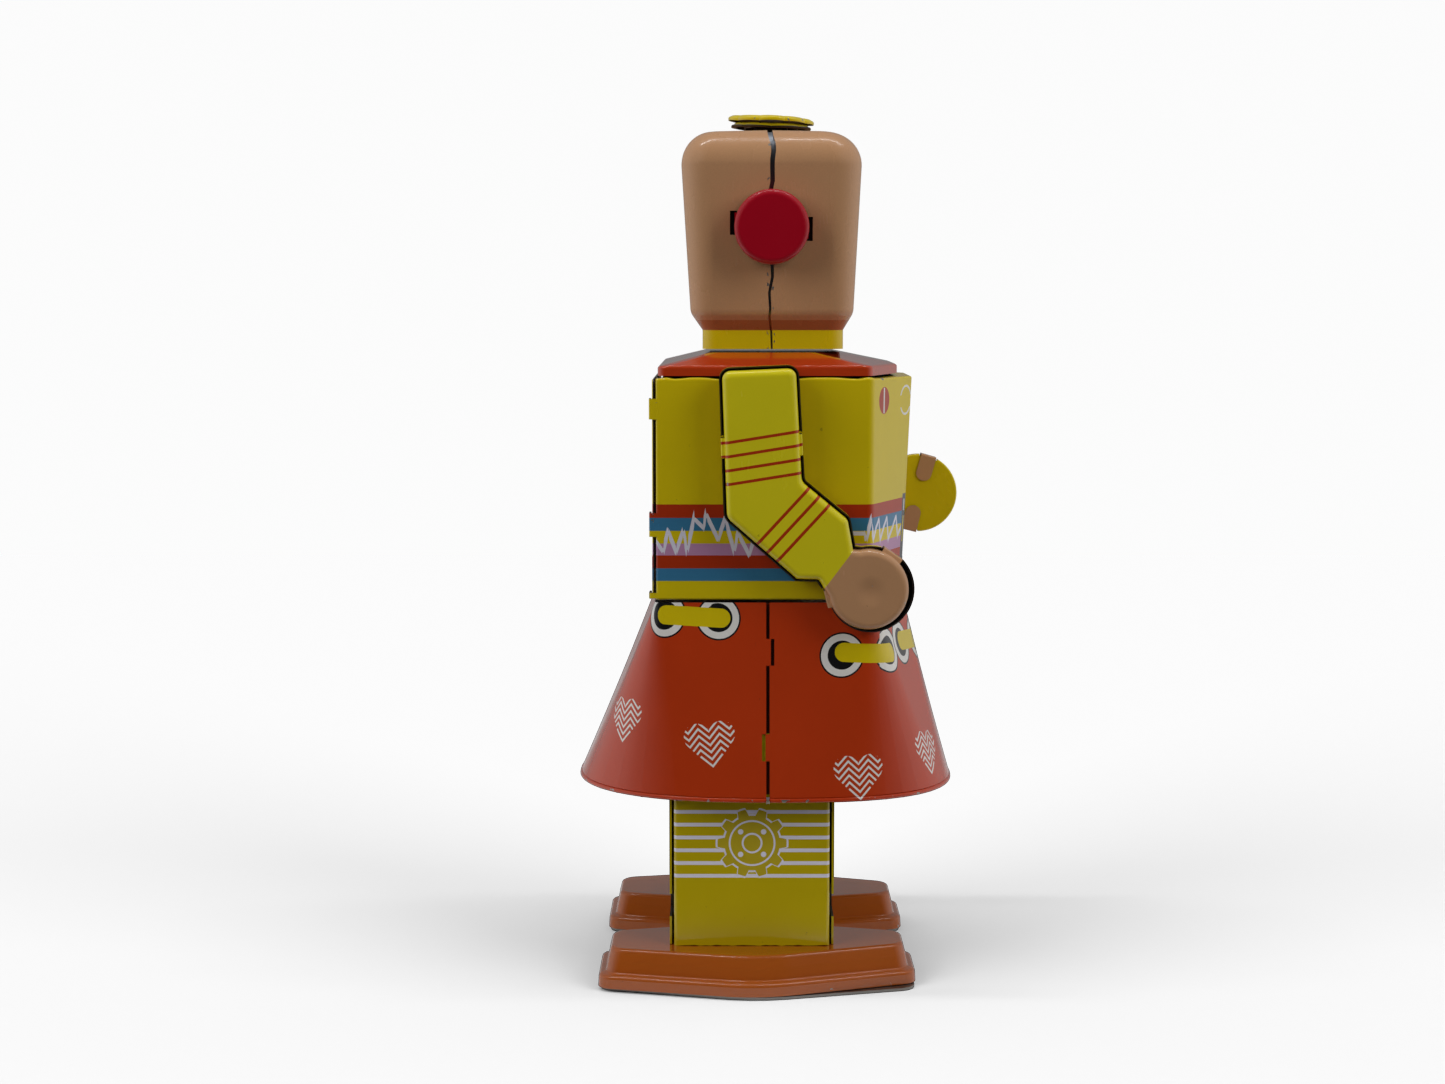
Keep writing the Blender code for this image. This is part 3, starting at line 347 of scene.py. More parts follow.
class Field:
    """A number that varies over a surface: one output socket among a material's nodes."""

    def __init__(self, tree, socket):
        self.tree = tree
        self.socket = socket

    def maths(self, operation, *others):
        node = self.tree.nodes.new("ShaderNodeMath")
        node.operation = operation
        for slot, value in zip(node.inputs, (self, *others)):
            if isinstance(value, Field):
                self.tree.links.new(value.socket, slot)
            else:
                slot.default_value = value
        return Field(self.tree, node.outputs[0])

    def __add__(self, other):
        return self.maths("ADD", other)

    def __sub__(self, other):
        return self.maths("SUBTRACT", other)

    def __mul__(self, other):
        return self.maths("MULTIPLY", other)

    def __lt__(self, other):
        return self.maths("LESS_THAN", other)

    def __gt__(self, other):
        return self.maths("GREATER_THAN", other)

    def __and__(self, other):
        return self.maths("MINIMUM", other)

    def __or__(self, other):
        return self.maths("MAXIMUM", other)

    def __invert__(self):
        return self.maths("MULTIPLY_ADD", -1.0, 1.0)

    def size(self):
        return self.maths("ABSOLUTE")

    def near(self, value, distance):
        """One where the field is within a distance of a value."""
        return self.maths("COMPARE", value, distance)

    def between(self, low, high):
        return self.near((low + high) / 2, (high - low) / 2)


def far(u, v):
    """Distance from the origin of the (u, v) plane."""
    return (u * u + v * v).maths("SQRT")


def to_bar(u, v, start, end):
    """Distance from the straight line between two points of the (u, v) plane."""
    way = Vector(end) - Vector(start)
    du, dv = u - start[0], v - start[1]
    share = (du * (way.x / way.length_squared) + dv * (way.y / way.length_squared))
    share = (share | 0.0) & 1.0
    return far(du - share * way.x, dv - share * way.y)


def noise(point, size, detail=2.0, seed=0.0, stretch=(1.0, 1.0, 1.0)):
    """Smooth noise from 0 to 1 whose features are about one size across."""
    tree = point.tree
    scaled = tree.nodes.new("ShaderNodeMapping")
    scaled.inputs["Location"].default_value = (seed, seed * 0.7, -seed)
    scaled.inputs["Scale"].default_value = [s / size for s in stretch]
    tree.links.new(point.socket, scaled.inputs["Vector"])
    made = tree.nodes.new("ShaderNodeTexNoise")
    made.inputs["Scale"].default_value = 1.0
    made.inputs["Detail"].default_value = detail
    tree.links.new(scaled.outputs[0], made.inputs["Vector"])
    return Field(tree, made.outputs[0])


def mixed(tree, under, over, share, blend="MIX"):
    """A colour socket with another colour laid over it. Under and over are colours, fields or sockets."""
    node = tree.nodes.new("ShaderNodeMix")
    node.data_type = "RGBA"
    node.blend_type = blend
    node.clamp_factor = True
    for slot, value in ((node.inputs[0], share), (node.inputs[6], under), (node.inputs[7], over)):
        if isinstance(value, Field):
            tree.links.new(value.socket, slot)
        elif isinstance(value, bpy.types.NodeSocket):
            tree.links.new(value, slot)
        elif isinstance(value, tuple):
            slot.default_value = (*value, 1.0)
        else:
            slot.default_value = value
    return node.outputs[2]


def curve_of(field, points, low, high):
    """A straight-line graph of (input, output) points, whose outputs lie between low and high."""
    node = field.tree.nodes.new("ShaderNodeFloatCurve")
    points = sorted(points)
    first, last = points[0][0], points[-1][0]
    share = (field - first) * (1 / (last - first))
    field.tree.links.new(share.socket, node.inputs["Value"])
    curve = node.mapping.curves[0]
    while len(curve.points) > 2:
        curve.points.remove(curve.points[-2])
    places = [((u - first) / (last - first), (v - low) / (high - low)) for u, v in points]
    curve.points[0].location = places[0]
    curve.points[1].location = places[-1]
    for place in places[1:-1]:
        curve.points.new(*place)
    for point in curve.points:
        point.handle_type = "VECTOR"
    node.mapping.update()
    return Field(field.tree, node.outputs[0]) * (high - low) + low


def surface(name):
    """A new material with its shader and the surface point in millimetres, whole and by axis."""
    material = bpy.data.materials.new(name)
    material.use_nodes = True
    tree = material.node_tree
    place = tree.nodes.new("ShaderNodeTexCoord")
    scaled = tree.nodes.new("ShaderNodeVectorMath")
    scaled.operation = "SCALE"
    scaled.inputs["Scale"].default_value = 1 / MM
    tree.links.new(place.outputs["Object"], scaled.inputs[0])
    split = tree.nodes.new("ShaderNodeSeparateXYZ")
    tree.links.new(scaled.outputs[0], split.inputs[0])
    point = Field(tree, scaled.outputs[0])
    return material, tree.nodes["Principled BSDF"], point, [Field(tree, s) for s in split.outputs]


def bumped(shader, height):
    """Raises a surface by a height in millimetres."""
    tree = height.tree
    bump = tree.nodes.new("ShaderNodeBump")
    bump.inputs["Distance"].default_value = MM
    tree.links.new(height.socket, bump.inputs["Height"])
    tree.links.new(bump.outputs[0], shader.inputs["Normal"])


def link(field, socket):
    field.tree.links.new(field.socket, socket)


# ---------------- finishes

def painted(name, ground, prints=None, chips=None, gloss=0.2, waves=0.035, screen=0.05, coat=0.35):
    """Printed and lacquered tinplate: inks over a ground colour, chipped to metal where it is worn."""
    material, shader, point, (x, y, z) = surface(name)
    tree = point.tree
    colour = ground
    for mask, ink in (prints(x, y, z) if prints else []):
        colour = mixed(tree, colour, ink, mask)
    fine = noise(point, 0.22, detail=1.0, seed=3.0)
    broad = noise(point, 9.0, detail=3.0, seed=11.0)
    specks = noise(point, 1.3, seed=29.0) > 0.78
    tone = fine * screen + broad * 0.10 + (0.95 - screen / 2)
    colour = mixed(tree, colour, tone, 1.0, "MULTIPLY")
    colour = mixed(tree, colour, SPECK_INK, specks * 0.35)
    scuffs = noise(point, 5.0, detail=6.0, seed=41.0, stretch=(1.0, 1.0, 0.25)) - 0.5
    rough = broad * 0.10 + scuffs.size() * 0.20 + (gloss - 0.05)
    height = noise(point, 11.0, detail=1.0, seed=5.0) * waves + noise(point, 1.6, seed=17.0) * 0.0016
    if chips:
        worn = chips(point, x, y, z)
        colour = mixed(tree, colour, CHIP_METAL, worn)
        rough = rough + worn * 0.25
        height = height - worn * 0.02
        link(worn * 0.8, shader.inputs["Metallic"])
    tree.links.new(colour, shader.inputs["Base Color"])
    link(rough, shader.inputs["Roughness"])
    shader.inputs["Coat Weight"].default_value = coat
    shader.inputs["Coat Roughness"].default_value = 0.06
    bumped(shader, height)
    return material


def metal(name, ground, rough=0.32, grain=(1.0, 1.0, 1.0), stains=0.25, metallic=1.0):
    """Bare sheet or turned metal with a grain, faint stains and small pits."""
    material, shader, point, _ = surface(name)
    tree = point.tree
    lines = noise(point, 0.5, detail=4.0, seed=7.0, stretch=grain)
    blots = noise(point, 4.0, detail=4.0, seed=19.0)
    tone = lines * 0.30 + blots * stains + (0.85 - stains / 2)
    colour = mixed(tree, ground, tone, 1.0, "MULTIPLY")
    tree.links.new(colour, shader.inputs["Base Color"])
    link(blots * 0.22 + lines * 0.12 + (rough - 0.15), shader.inputs["Roughness"])
    shader.inputs["Metallic"].default_value = metallic
    bumped(shader, lines * 0.004 + blots * 0.006)
    return material


def worn_where(near_edge, point, amount, size):
    """Chips where a field is near an edge and coarse noise is high."""
    return near_edge & (noise(point, size, detail=4.0, seed=53.0) > amount)


def within(area, marks):
    """Printed marks that show only inside one area."""
    return [(area & mask, ink) for mask, ink in marks]


def wrap_distance(x, y, half, bend_y):
    """Distance round a six-sided body: y on the sides, going on round the rear and along the cheek."""
    cheek = Vector((CHEST_HALF - half, CHEST_LOW_Y - BEND_Y)).normalized()
    out = x.size() - half
    along_cheek = ((out * cheek.x + (y - bend_y) * cheek.y) | 0.0) * (y < bend_y)
    round_rear = (out & 0.0) * (y > REAR_TURN_Y)
    return (y | bend_y) - along_cheek - round_rear


# The waist bands, and the (distance round the body, z) turns of the zigzag: the side's, then the cheek's
BAND_EDGES = (88.7, 86.25, 83.9, 81.6, 79.45, 77.1, 74.8)
BAND_INKS = (BAND_RED, BAND_BLUE, YELLOW, MAUVE, BAND_RED, BAND_BLUE)
ZIGZAG_RANGE = (79.0, 88.0)
ZIGZAG_HALF_WIDTH = 0.36
ZIGZAG = [
    (23.0, 82.6), (21.83, 81.63), (20.76, 80.17), (19.84, 83.8), (18.41, 80.17), (17.14, 83.8),
    (16.42, 80.36), (15.15, 86.1), (13.53, 84.53), (12.99, 86.9), (10.82, 82.4), (9.56, 86.1),
    (7.94, 80.36), (7.22, 83.44), (5.23, 79.63), (3.79, 83.98), (2.0, 81.0), (0.0, 83.44),
    (-15.52, 83.44), (-15.89, 82.4), (-16.85, 86.0), (-17.9, 82.4),
    (-18.9, 84.0), (-20.6, 85.7), (-21.6, 81.9), (-23.4, 84.0), (-25.0, 85.6), (-26.2, 81.6),
    (-28.4, 83.5), (-30.2, 85.4), (-31.6, 81.8), (-34.6, 84.0), (-36.0, 82.6),
]


def torso_prints(x, y, z):
    s = wrap_distance(x, y, WRAP[1].x, BEND_Y)
    edges = zip(BAND_EDGES, BAND_EDGES[1:], BAND_INKS)
    prints = [(z.between(low, high), ink) for high, low, ink in edges]
    line = curve_of(s, ZIGZAG, *ZIGZAG_RANGE)
    step = 0.15
    slope = (curve_of(s + step, ZIGZAG, *ZIGZAG_RANGE) - line) * (1 / step)
    allowed = (slope * slope + 1.0).maths("SQRT") * ZIGZAG_HALF_WIDTH
    not_rear = y < WRAP[1].y + 0.1
    prints.append((((z - line).size() < allowed) & not_rear, PALE))
    return prints + chest_prints(x, y, z, s)


DIAL = (5.0, 84.2)
NEEDLE_TIP = (6.4, 86.0)
LAMP_Z = 78.8
LAMP_PITCH = 4.0
BUTTON = (BEND_Y - 5.4, 107.2)
CURL = (BEND_Y - 16.0, 106.9)


def chest_prints(x, y, z, s):
    """The made-up instrument panel on the chest, and the button and curl on each cheek."""
    front = y < BEND_Y
    side = x.size()
    panel = z.between(72.6, 89.4) & (side < 10.0) & front
    dial = far(side - DIAL[0], z - DIAL[1])
    needle = to_bar(side, z, DIAL, NEEDLE_TIP)
    lamp = far(side.maths("PINGPONG", LAMP_PITCH / 2) - LAMP_PITCH / 2, z - LAMP_Z)
    lamp_row = (side < 9.0) & z.near(LAMP_Z, 1.8)
    vents = z.maths("PINGPONG", 0.6).near(0.0, 0.24) & z.between(73.7, 76.3) & (side < 8.4)
    on_panel = [
        (dial < 3.5, BLACK), (dial < 3.1, WHITE), (dial.near(2.45, 0.12), BLACK), (needle < 0.25, CRIMSON),
        (lamp_row & (lamp < 1.25), BLACK), (lamp_row & (lamp < 0.95), BAND_RED), (vents, BLACK),
        (side.between(8.9, 9.3) & z.between(86.2, 88.4), WHITE),
        (side.between(8.95, 9.35) & z.between(80.4, 85.2), YELLOW),
    ]
    along = s - BUTTON[0]
    button = far(along, z - BUTTON[1])
    curl = far(s - CURL[0], z - CURL[1])
    on_cheeks = [
        (button < 2.45, BAND_RED), ((button < 2.3) & along.near(0.0, 0.28), WHITE),
        (curl.near(2.6, 0.2) & ((z > 107.8) | (z < 105.6)), WHITE),
    ]
    return [(panel, PANEL_GREY)] + within(panel, on_panel) + within(front, on_cheeks)


def edge_chips_torso(point, x, y, z):
    corner = (y > WRAP[1].y - 0.35) & (x.size() > WRAP[1].x - 0.6)
    edge = (z > WRAP[1].z - 0.5) | (z < WRAP[0].z + 0.5) | corner
    return worn_where(edge, point, 0.68, 1.8)


SLEEVE_STRIPES = (-6.5, -9.0, -11.5, -13.95)
FOREARM_STRIPES = (16.95, 19.3, 21.65)
WRIST_LINE = 29.35


def arm_prints(x, y, z):
    """In the arm's own frame: cuff stripes on the sleeve, and the hand in skin beyond the wrist line."""
    along_sleeve = z + y * 0.1604
    along_forearm = y * -0.736 - z * 0.677
    to_hand = y * -0.8 - z * 0.6
    prints = [(along_sleeve.near(place, 0.27), BAND_RED) for place in SLEEVE_STRIPES]
    prints += [(along_forearm.near(place, 0.28), BAND_RED) for place in FOREARM_STRIPES]
    return prints + [(to_hand > WRIST_LINE, SKIN)]


def arm_chips(point, x, y, z):
    edge = (x.size() > ARM_SHELL[1].x - 1.0) & (x.size() < ARM_SHELL[1].x - 0.3)
    return worn_where(edge, point, 0.7, 1.4)


STRIPE_Z = 20.5
STRIPE_HALF_PITCH = 1.19
COG_CENTRE = (4.6, 26.6)
COG_TEETH = 10.0
COG_MEAN_RADIUS = 5.7


def leg_prints(x, y, z):
    """White stripes above plain yellow, with a plain cog over them."""
    web = x.size() > LEG_OUTER[1].x - 1.2
    stripe = (z - STRIPE_Z).maths("WRAP", STRIPE_HALF_PITCH, -STRIPE_HALF_PITCH).near(0.0, 0.34)
    u, v = y - COG_CENTRE[0], z - COG_CENTRE[1]
    out = far(u, v)
    teeth = (v.maths("ARCTAN2", u) * COG_TEETH).maths("COSINE")
    inside_rim = (((teeth * 2.5) | -1.0) & 1.0) * 0.62 + COG_MEAN_RADIUS - out
    rivet = far(u.size() - 2.1, v.size() - 2.1)
    return within(web, [
        (stripe & (z > STRIPE_Z - 1.0), PALE), (inside_rim > -0.34, PALE), (inside_rim > 0.0, OCHRE),
        (out.near(4.1, 0.17), PALE), (out < 1.9, PALE), (out < 1.55, OCHRE), (rivet < 0.5, PALE),
    ])


def leg_chips(point, x, y, z):
    return worn_where(z < LEG_OUTER[0].z + 0.3, point, 0.72, 1.5)


def nearest_stamp(point, frames):
    """The surface point in the frame of whichever of several stamps is nearest."""
    tree = point.tree
    best, best_distance = None, None
    for matrix in frames:
        local = tree.nodes.new("ShaderNodeMapping")
        local.vector_type = "TEXTURE"
        local.inputs["Location"].default_value = matrix.translation
        local.inputs["Rotation"].default_value = matrix.to_euler()
        tree.links.new(point.socket, local.inputs["Vector"])
        length = tree.nodes.new("ShaderNodeVectorMath")
        length.operation = "LENGTH"
        tree.links.new(local.outputs[0], length.inputs[0])
        distance = Field(tree, length.outputs["Value"])
        if best is None:
            best, best_distance = local.outputs[0], distance
            continue
        chooser = tree.nodes.new("ShaderNodeMix")
        chooser.data_type = "VECTOR"
        link(distance < best_distance, chooser.inputs[0])
        tree.links.new(best, chooser.inputs[4])
        tree.links.new(local.outputs[0], chooser.inputs[5])
        best, best_distance = chooser.outputs[1], distance & best_distance
    split = tree.nodes.new("ShaderNodeSeparateXYZ")
    tree.links.new(best, split.inputs[0])
    return [Field(tree, socket) for socket in split.outputs]


def chevron_heart(u, v, w):
    """A heart of white chevron lines, 9.2 mm wide, upright in the (u, v) plane."""
    lobes = far(u.size() - 2.25, v - 1.45) < 2.4
    tip = (u.size() * 0.742 - v * 0.67 < 3.08) & (v < 1.5) & (u.size() < 4.05)
    heart = (lobes | tip) & w.near(0.0, 2.5)
    zigzag = u.maths("PINGPONG", 1.885)
    rows = (v - zigzag + 0.3).maths("WRAP", 0.635, -0.635)
    return heart & rows.near(0.0, 0.25)


def eyelet_pair(u, v, half_gap, slant):
    """Two printed eyelets and the lace that passes between them."""
    from_hole = far(u.size() - half_gap, v - u * slant)
    rise = LACE_SLANT * half_gap
    lace = to_bar(u, v, (-half_gap - 0.5, -rise), (half_gap - 0.4, rise))
    rings = [(from_hole < radius, ink) for radius, ink in ((4.1, BLACK), (3.8, WHITE), (2.6, BLACK))]
    return rings + [(lace < 1.72, YELLOW)]


def skirt_prints(x, y, z):
    s = wrap_distance(x, y, WRAP[1].x + 0.6, BEND_Y - 1.5)
    prints = []
    for centre, height, half_gap, slant in EYELET_PAIRS:
        u = s - centre
        prints += within(u.size() < half_gap + 4.4, eyelet_pair(u, z - height, half_gap, slant))
    whole = x.tree.nodes.new("ShaderNodeCombineXYZ")
    for field, slot in zip((x, y, z), whole.inputs):
        link(field, slot)
    u, v, w = nearest_stamp(Field(x.tree, whole.outputs[0]), heart_frames())
    return prints + [(chevron_heart(u, v, w), WHITE)]


def skirt_chips(point, x, y, z):
    return worn_where(z < SKIRT[0].z + 0.75, point, 0.62, 2.2)


def shoe_chips(point, x, y, z):
    return worn_where(z < SHOE[0].z + 0.4, point, 0.68, 1.7)


def head_prints(x, y, z):
    """The collar, and a painted shade round the jaw: a darker, redder band of skin for the shade under the
    jaw and the orange cover's reflection there.
    """
    return [(z < JAW_SHADE_Z, PAINTED_JAW_SHADE), (z < COLLAR_Z, YELLOW)]


# Half the face, as (x, z) places
EYE, IRIS, GLINT = (8.2, 139.5), (7.8, 139.0), (7.0, 140.3)
LASHES = (((10.6, 143.4), (12.0, 145.4)), ((12.2, 141.7), (14.2, 143.0)), ((8.2, 144.2), (8.6, 146.4)))
ROUGE_SPOT, NOSE, SMILE_CENTRE = (12.2, 131.0), (0.0, 133.6), (0.0, 137.0)
ROUGE = (0.62, 0.16, 0.10)
LIP = (0.30, 0.01, 0.01)


def face_prints(x, y, z):
    """A plain cheerful face, painted on the front pressing only."""
    side = x.size()
    rouge, eye, iris, glint, nose, smile = (
        far(side - u, z - v) for u, v in (ROUGE_SPOT, EYE, IRIS, GLINT, NOSE, SMILE_CENTRE)
    )
    first, second, third = (to_bar(side, z, root, tip) for root, tip in LASHES)
    return head_prints(x, y, z) + within(y < HEAD[0].y + 4.0, [
        (rouge < 2.7, ROUGE), (eye < 4.6, BLACK), (eye < 4.15, WHITE), (iris < 2.3, BAND_BLUE),
        (iris < 1.2, BLACK), (glint < 0.55, WHITE), ((first & second & third) < 0.28, BLACK),
        (nose < 1.5, CRIMSON), (smile.near(9.6, 0.42) & (z < 130.2), LIP),
    ])


def head_chips(point, x, y, z):
    return worn_where(y.near(SEAM_Y, 0.75), point, 0.64, 1.1)


def flower_prints(x, y, z):
    out = far(x, y - FLOWER_Y)
    petals = (y - FLOWER_Y).maths("ARCTAN2", x) * 5.0
    creases = petals.maths("COSINE").size() < 0.10
    return [(creases & out.between(3.4, 7.0), CREASE_INK), (out < 2.7, ORANGE)]


def flower_chips(point, x, y, z):
    return worn_where(far(x, y - FLOWER_Y) > FLOWER[1].x - 0.9, point, 0.66, 0.7)


# ---------------- head

COLLAR_Z = 119.85
COLLAR_INSET = 4.1
JAW = (1.75, 123.0)
# Below this height the head's skin takes the painted jaw shade
JAW_SHADE_Z = 121.7
CROWN_DROP = 6.6
CROWN_SAG = 0.0022
HEAD_CORNER = 5.6
SIDE_REACH = 5.9
EAR_SLOT_Y = 6.85
# Keyed by whether it is the front half: how far the crown draws in, how fast the depth follows the
# profile's inset, and how far the ear's slot sits above its axis
CROWN_REACH = {True: 6.9, False: 5.9}
DEPTH_SHARE = {True: 0.78, False: 0.93}
EAR_SLOT_RISE = {True: -0.3, False: 0.8}


def head_profile():
    """(inset, z, share of the way over the crown) from the collar up over the crown."""
    crown_z = HEAD[1].z - CROWN_DROP
    corners = [(COLLAR_INSET, HEAD[0].z - 0.3, 0), (COLLAR_INSET, COLLAR_Z, 0.35), (*JAW, 2.6),
               (0.0, crown_z, 0)]
    profile = rounded(corners, closed=False)
    profile = profile[:-1] + dense(profile[-2:], 3.0)[1:]
    profile = [(inset, z, 0.0) for inset, z in profile]
    steps = 16
    for i in range(1, steps + 1):
        angle = math.pi / 2 * i / steps
        profile.append((0.0, crown_z + CROWN_DROP * math.sin(angle), 1 - math.cos(angle)))
    return profile


def seam_wander(z):
    """How far the hand-closed seam strays from its line at one height."""
    return 0.30 * math.sin(0.36 * z + 0.8) + 0.15 * math.sin(1.1 * z)


def seam_gap(z):
    share = (z - HEAD[0].z) / (HEAD[1].z - HEAD[0].z)
    return 0.34 + 0.6 * share


def head_half(name, front, finish):
    side = -1 if front else 1
    far_y = HEAD[0].y if front else HEAD[1].y
    rings = []
    for inset, z, over in head_profile():
        half = HEAD[1].x - inset - SIDE_REACH * over
        depth = far_y - side * (DEPTH_SHARE[front] * inset + CROWN_REACH[front] * over)
        corner = max(0.6, HEAD_CORNER - 0.63 * inset - 4.6 * over)
        seam = SEAM_Y + side * seam_gap(z) / 2 + seam_wander(z)
        corners = [(-half, seam, 0), (-half, depth, corner), (half, depth, corner), (half, seam, 0)]
        path = rounded(corners, 10, False)
        if not front:
            path.reverse()
        sag = over * CROWN_SAG
        rings.append([(u, v, z - sag * ((v - SEAM_Y) ** 2 + 0.4 * u * u)) for u, v in path])
    bm = open_loft(rings)
    bm.verts.ensure_lookup_table()
    bm.faces.new(bm.verts[-len(rings[0]):])
    middle, height = EAR_AXIS[0] + side * EAR_SLOT_Y, EAR_AXIS[1] + EAR_SLOT_RISE[front]
    slots = [box((sign * 18.0, sign * 22.5), about(middle, 0.62), about(height, 2.15)) for sign in (-1, 1)]
    node = "head_front_shell" if front else "head_rear_shell"
    piece(name, bm, TORSO, finish, "skin_tin", (node,), SHEET, slots)


def head_seam_strip():
    """The joggled lip of bare tin that shows in the seam."""
    inside = []
    for inset, z, over in head_profile():
        half = HEAD[1].x - inset - SIDE_REACH * over - 0.75 * (1 - over)
        inside.append((-half, z - 0.7 * over - over * 0.4 * CROWN_SAG * half * half))
    path = inside + [(-x, z) for x, z in reversed(inside)]
    rings = [[(x, y, z) for x, z in path] for y in (SEAM_Y + 1.6, SEAM_Y - 1.6)]
    piece("head_seam_lip", open_loft(rings), TORSO, [SEAM_METAL], "bare_tin", sheet=0.25)


def ear(name, sign):
    """A shallow pressed button, with the tabs that hold it: through the slots, then bent outwards."""
    radius = EAR[1].z - EAR_AXIS[1]
    profile = rounded([(20.95, radius, 0), (EAR[1].x, radius, 1.15), (EAR[1].x, 0.01, 0)], 9, False)
    parts = [turned(profile, 72, EAR_AXIS, (False, False))]
    for side in (-1, 1):
        height = EAR_AXIS[1] + EAR_SLOT_RISE[side < 0]
        for xs, ys, half_height in (((19.3, 21.2), (6.32, 6.62), 1.8), ((19.0, 19.3), (6.32, 9.6), 2.6)):
            parts.append(box(xs, [EAR_AXIS[0] + side * y for y in ys], about(height, half_height)))
        # The bent-out tab behind each slot takes the third finish, the painted shadow black, so the slot
        # reads dark
        for face in parts[-1].faces:
            face.material_index = 2
    bm = joined(parts)
    on_side(sign, [bm])
    finishes = [CRIMSON_TIN, CRIMSON_TIN, GAP_SHADOW_BLACK]
    piece(name, bm, TORSO, finishes, "red_tin", (name.replace("_button", "_cap"),))


def petal_cap(petals, outer, top, drop, turn, tilt):
    """A shallow pressed flower: a low dome whose scalloped rim is turned down, tilted a little forward."""
    steps = petals * 16
    section = rounded([(2.0, top + 0.22, 0), (outer - 0.9, top, 0.5), (outer, top - 0.45, 0.4),
                       (outer - 0.12, top - drop, 0)], 5, False)
    rings = []
    for out, z in section:
        scallop, dent = 0.055 * (out / outer) ** 3, 0.10 * (out / outer) ** 4
        ring = []
        for i in range(steps):
            angle = 2 * math.pi * i / steps
            lobe = abs(math.cos(petals * (angle + turn) / 2)) ** 0.5
            radius = out * (1 - scallop * (1 - lobe))
            rise = dent * (math.sin(3 * angle + petals) + lobe - 0.6)
            y = radius * math.sin(angle)
            ring.append((radius * math.cos(angle), FLOWER_Y + y, z + rise + tilt * (y - outer)))
        rings.append(ring)
    return flipped(loft(rings))


def flower_stack(profile):
    """A round body under the flower's centre from (z, radius) stages."""
    return loft([level(circle(radius, (0.0, FLOWER_Y), 40), z) for z, radius in profile])


def flower():
    outer, peak = FLOWER[1].x - 0.1, FLOWER[1].z
    top = peak - 0.32
    upper = petal_cap(10, outer, top + 0.25, 0.95, 0.0, 0.05)
    lower = petal_cap(8, outer - 0.55, top - 1.15, 0.5, math.pi / 8, 0.035)
    # The petals' inner side takes the painted shade brown
    finishes = [PETAL_TIN, RAW_EDGE, PETAL_UNDERSIDE_SHADE]
    piece("flower_upper_petals", upper, TORSO, finishes, "yellow_tin", ("flower_plate",), PETAL_SHEET)
    piece("flower_lower_petals", lower, TORSO, finishes, "yellow_tin", (), PETAL_SHEET)
    profile = rounded([(top - 0.6, 0.01, 0), (top - 0.6, 2.4, 0.1), (top, 2.4, 0.2), (peak, 1.2, 0.3),
                       (peak, 0.01, 0)], 5, False)
    piece("flower_button", flower_stack(profile), TORSO, [PETAL_TIN], "orange_tin")


def flower_stand():
    """The dark eyelet under the flower, between the two strip legs that pass into the crown."""
    low, high = HEAD[1].z - 0.1, FLOWER[1].z - 2.0
    boss = flower_stack([(low, 0.01), (low, 4.6), (low + 0.3, 4.4), (low + 0.55, 3.3), (high - 0.4, 3.1),
                         (high, 4.4), (high, 0.01)])
    piece("flower_eyelet", boss, TORSO, [DARK_TIN], "bare_tin", ("flower_stand",))
    legs = []
    for side in (-1, 1):
        ys = (FLOWER_Y + side * 4.75, FLOWER_Y + side * 5.0)
        legs += [box(xs, ys, (low, high + 0.2)) for xs in ((-3.4, -1.2), (1.2, 3.4))]
    legs.append(box((-3.4, 3.4), about(FLOWER_Y, 5.0), (high - 0.05, high + 0.2)))
    piece("flower_legs", joined(legs), TORSO, [BARE_TIN], "bare_tin")


# ---------------- torso

def six_sided(half, rear, bend, chest, radii):
    """A closed plan, square behind and a blunt V in front. Radii: rear, bend and chest corners."""
    at_rear, at_bend, at_chest = radii
    return rounded([
        (half, rear, at_rear), (-half, rear, at_rear), (-half, bend, at_bend),
        (-CHEST_HALF, chest, at_chest), (CHEST_HALF, chest, at_chest), (half, bend, at_bend),
    ])


def cover_plan(inset):
    """The shoulder cover's plan, which draws in faster before and behind than at the sides."""
    return six_sided(WRAP[1].x - inset, WRAP[1].y - 1.585 * inset, BEND_Y + 1.717 * inset,
                     CHEST_TOP_Y + 2.4 + 1.962 * inset, (1.7, 1.7, 1.5))


def shoulder_cover():
    low, high = COVER[0].z, COVER[1].z - 0.45
    lip = low + 1.7
    rings = []
    for inset, z in rounded([(0.2, low, 0), (0.2, lip, 0.6), (6.1, high, 0.7), (8.2, high, 0)], 7, False):
        dent = 0.07 * max(0.0, 1 - abs(z - lip) / 0.7)
        rings.append([(u, v, z + dent * math.sin(v * 2.3 + 2 * math.sin(v))) for u, v in cover_plan(inset)])
    finishes = [COVER_TIN, RAW_EDGE, DARK_TIN]
    piece("shoulder_plate", loft(rings, caps=(False, True)), TORSO, finishes, "orange_tin",
          ("shoulder_cover",), SHEET)


# Where the torso's top fold rises, as (y, half width)
FOLD_RISES = ((14.6, 2.6), (-8.2, 4.2), (-16.0, 1.2), (3.0, 3.0), (20.5, 0.9))


def fold_ripple(y):
    """The top fold's small rises, where hidden tabs pull the sheet up."""
    return 0.28 * sum(math.exp(-((y - middle) / width) ** 4) for middle, width in FOLD_RISES) - 0.14


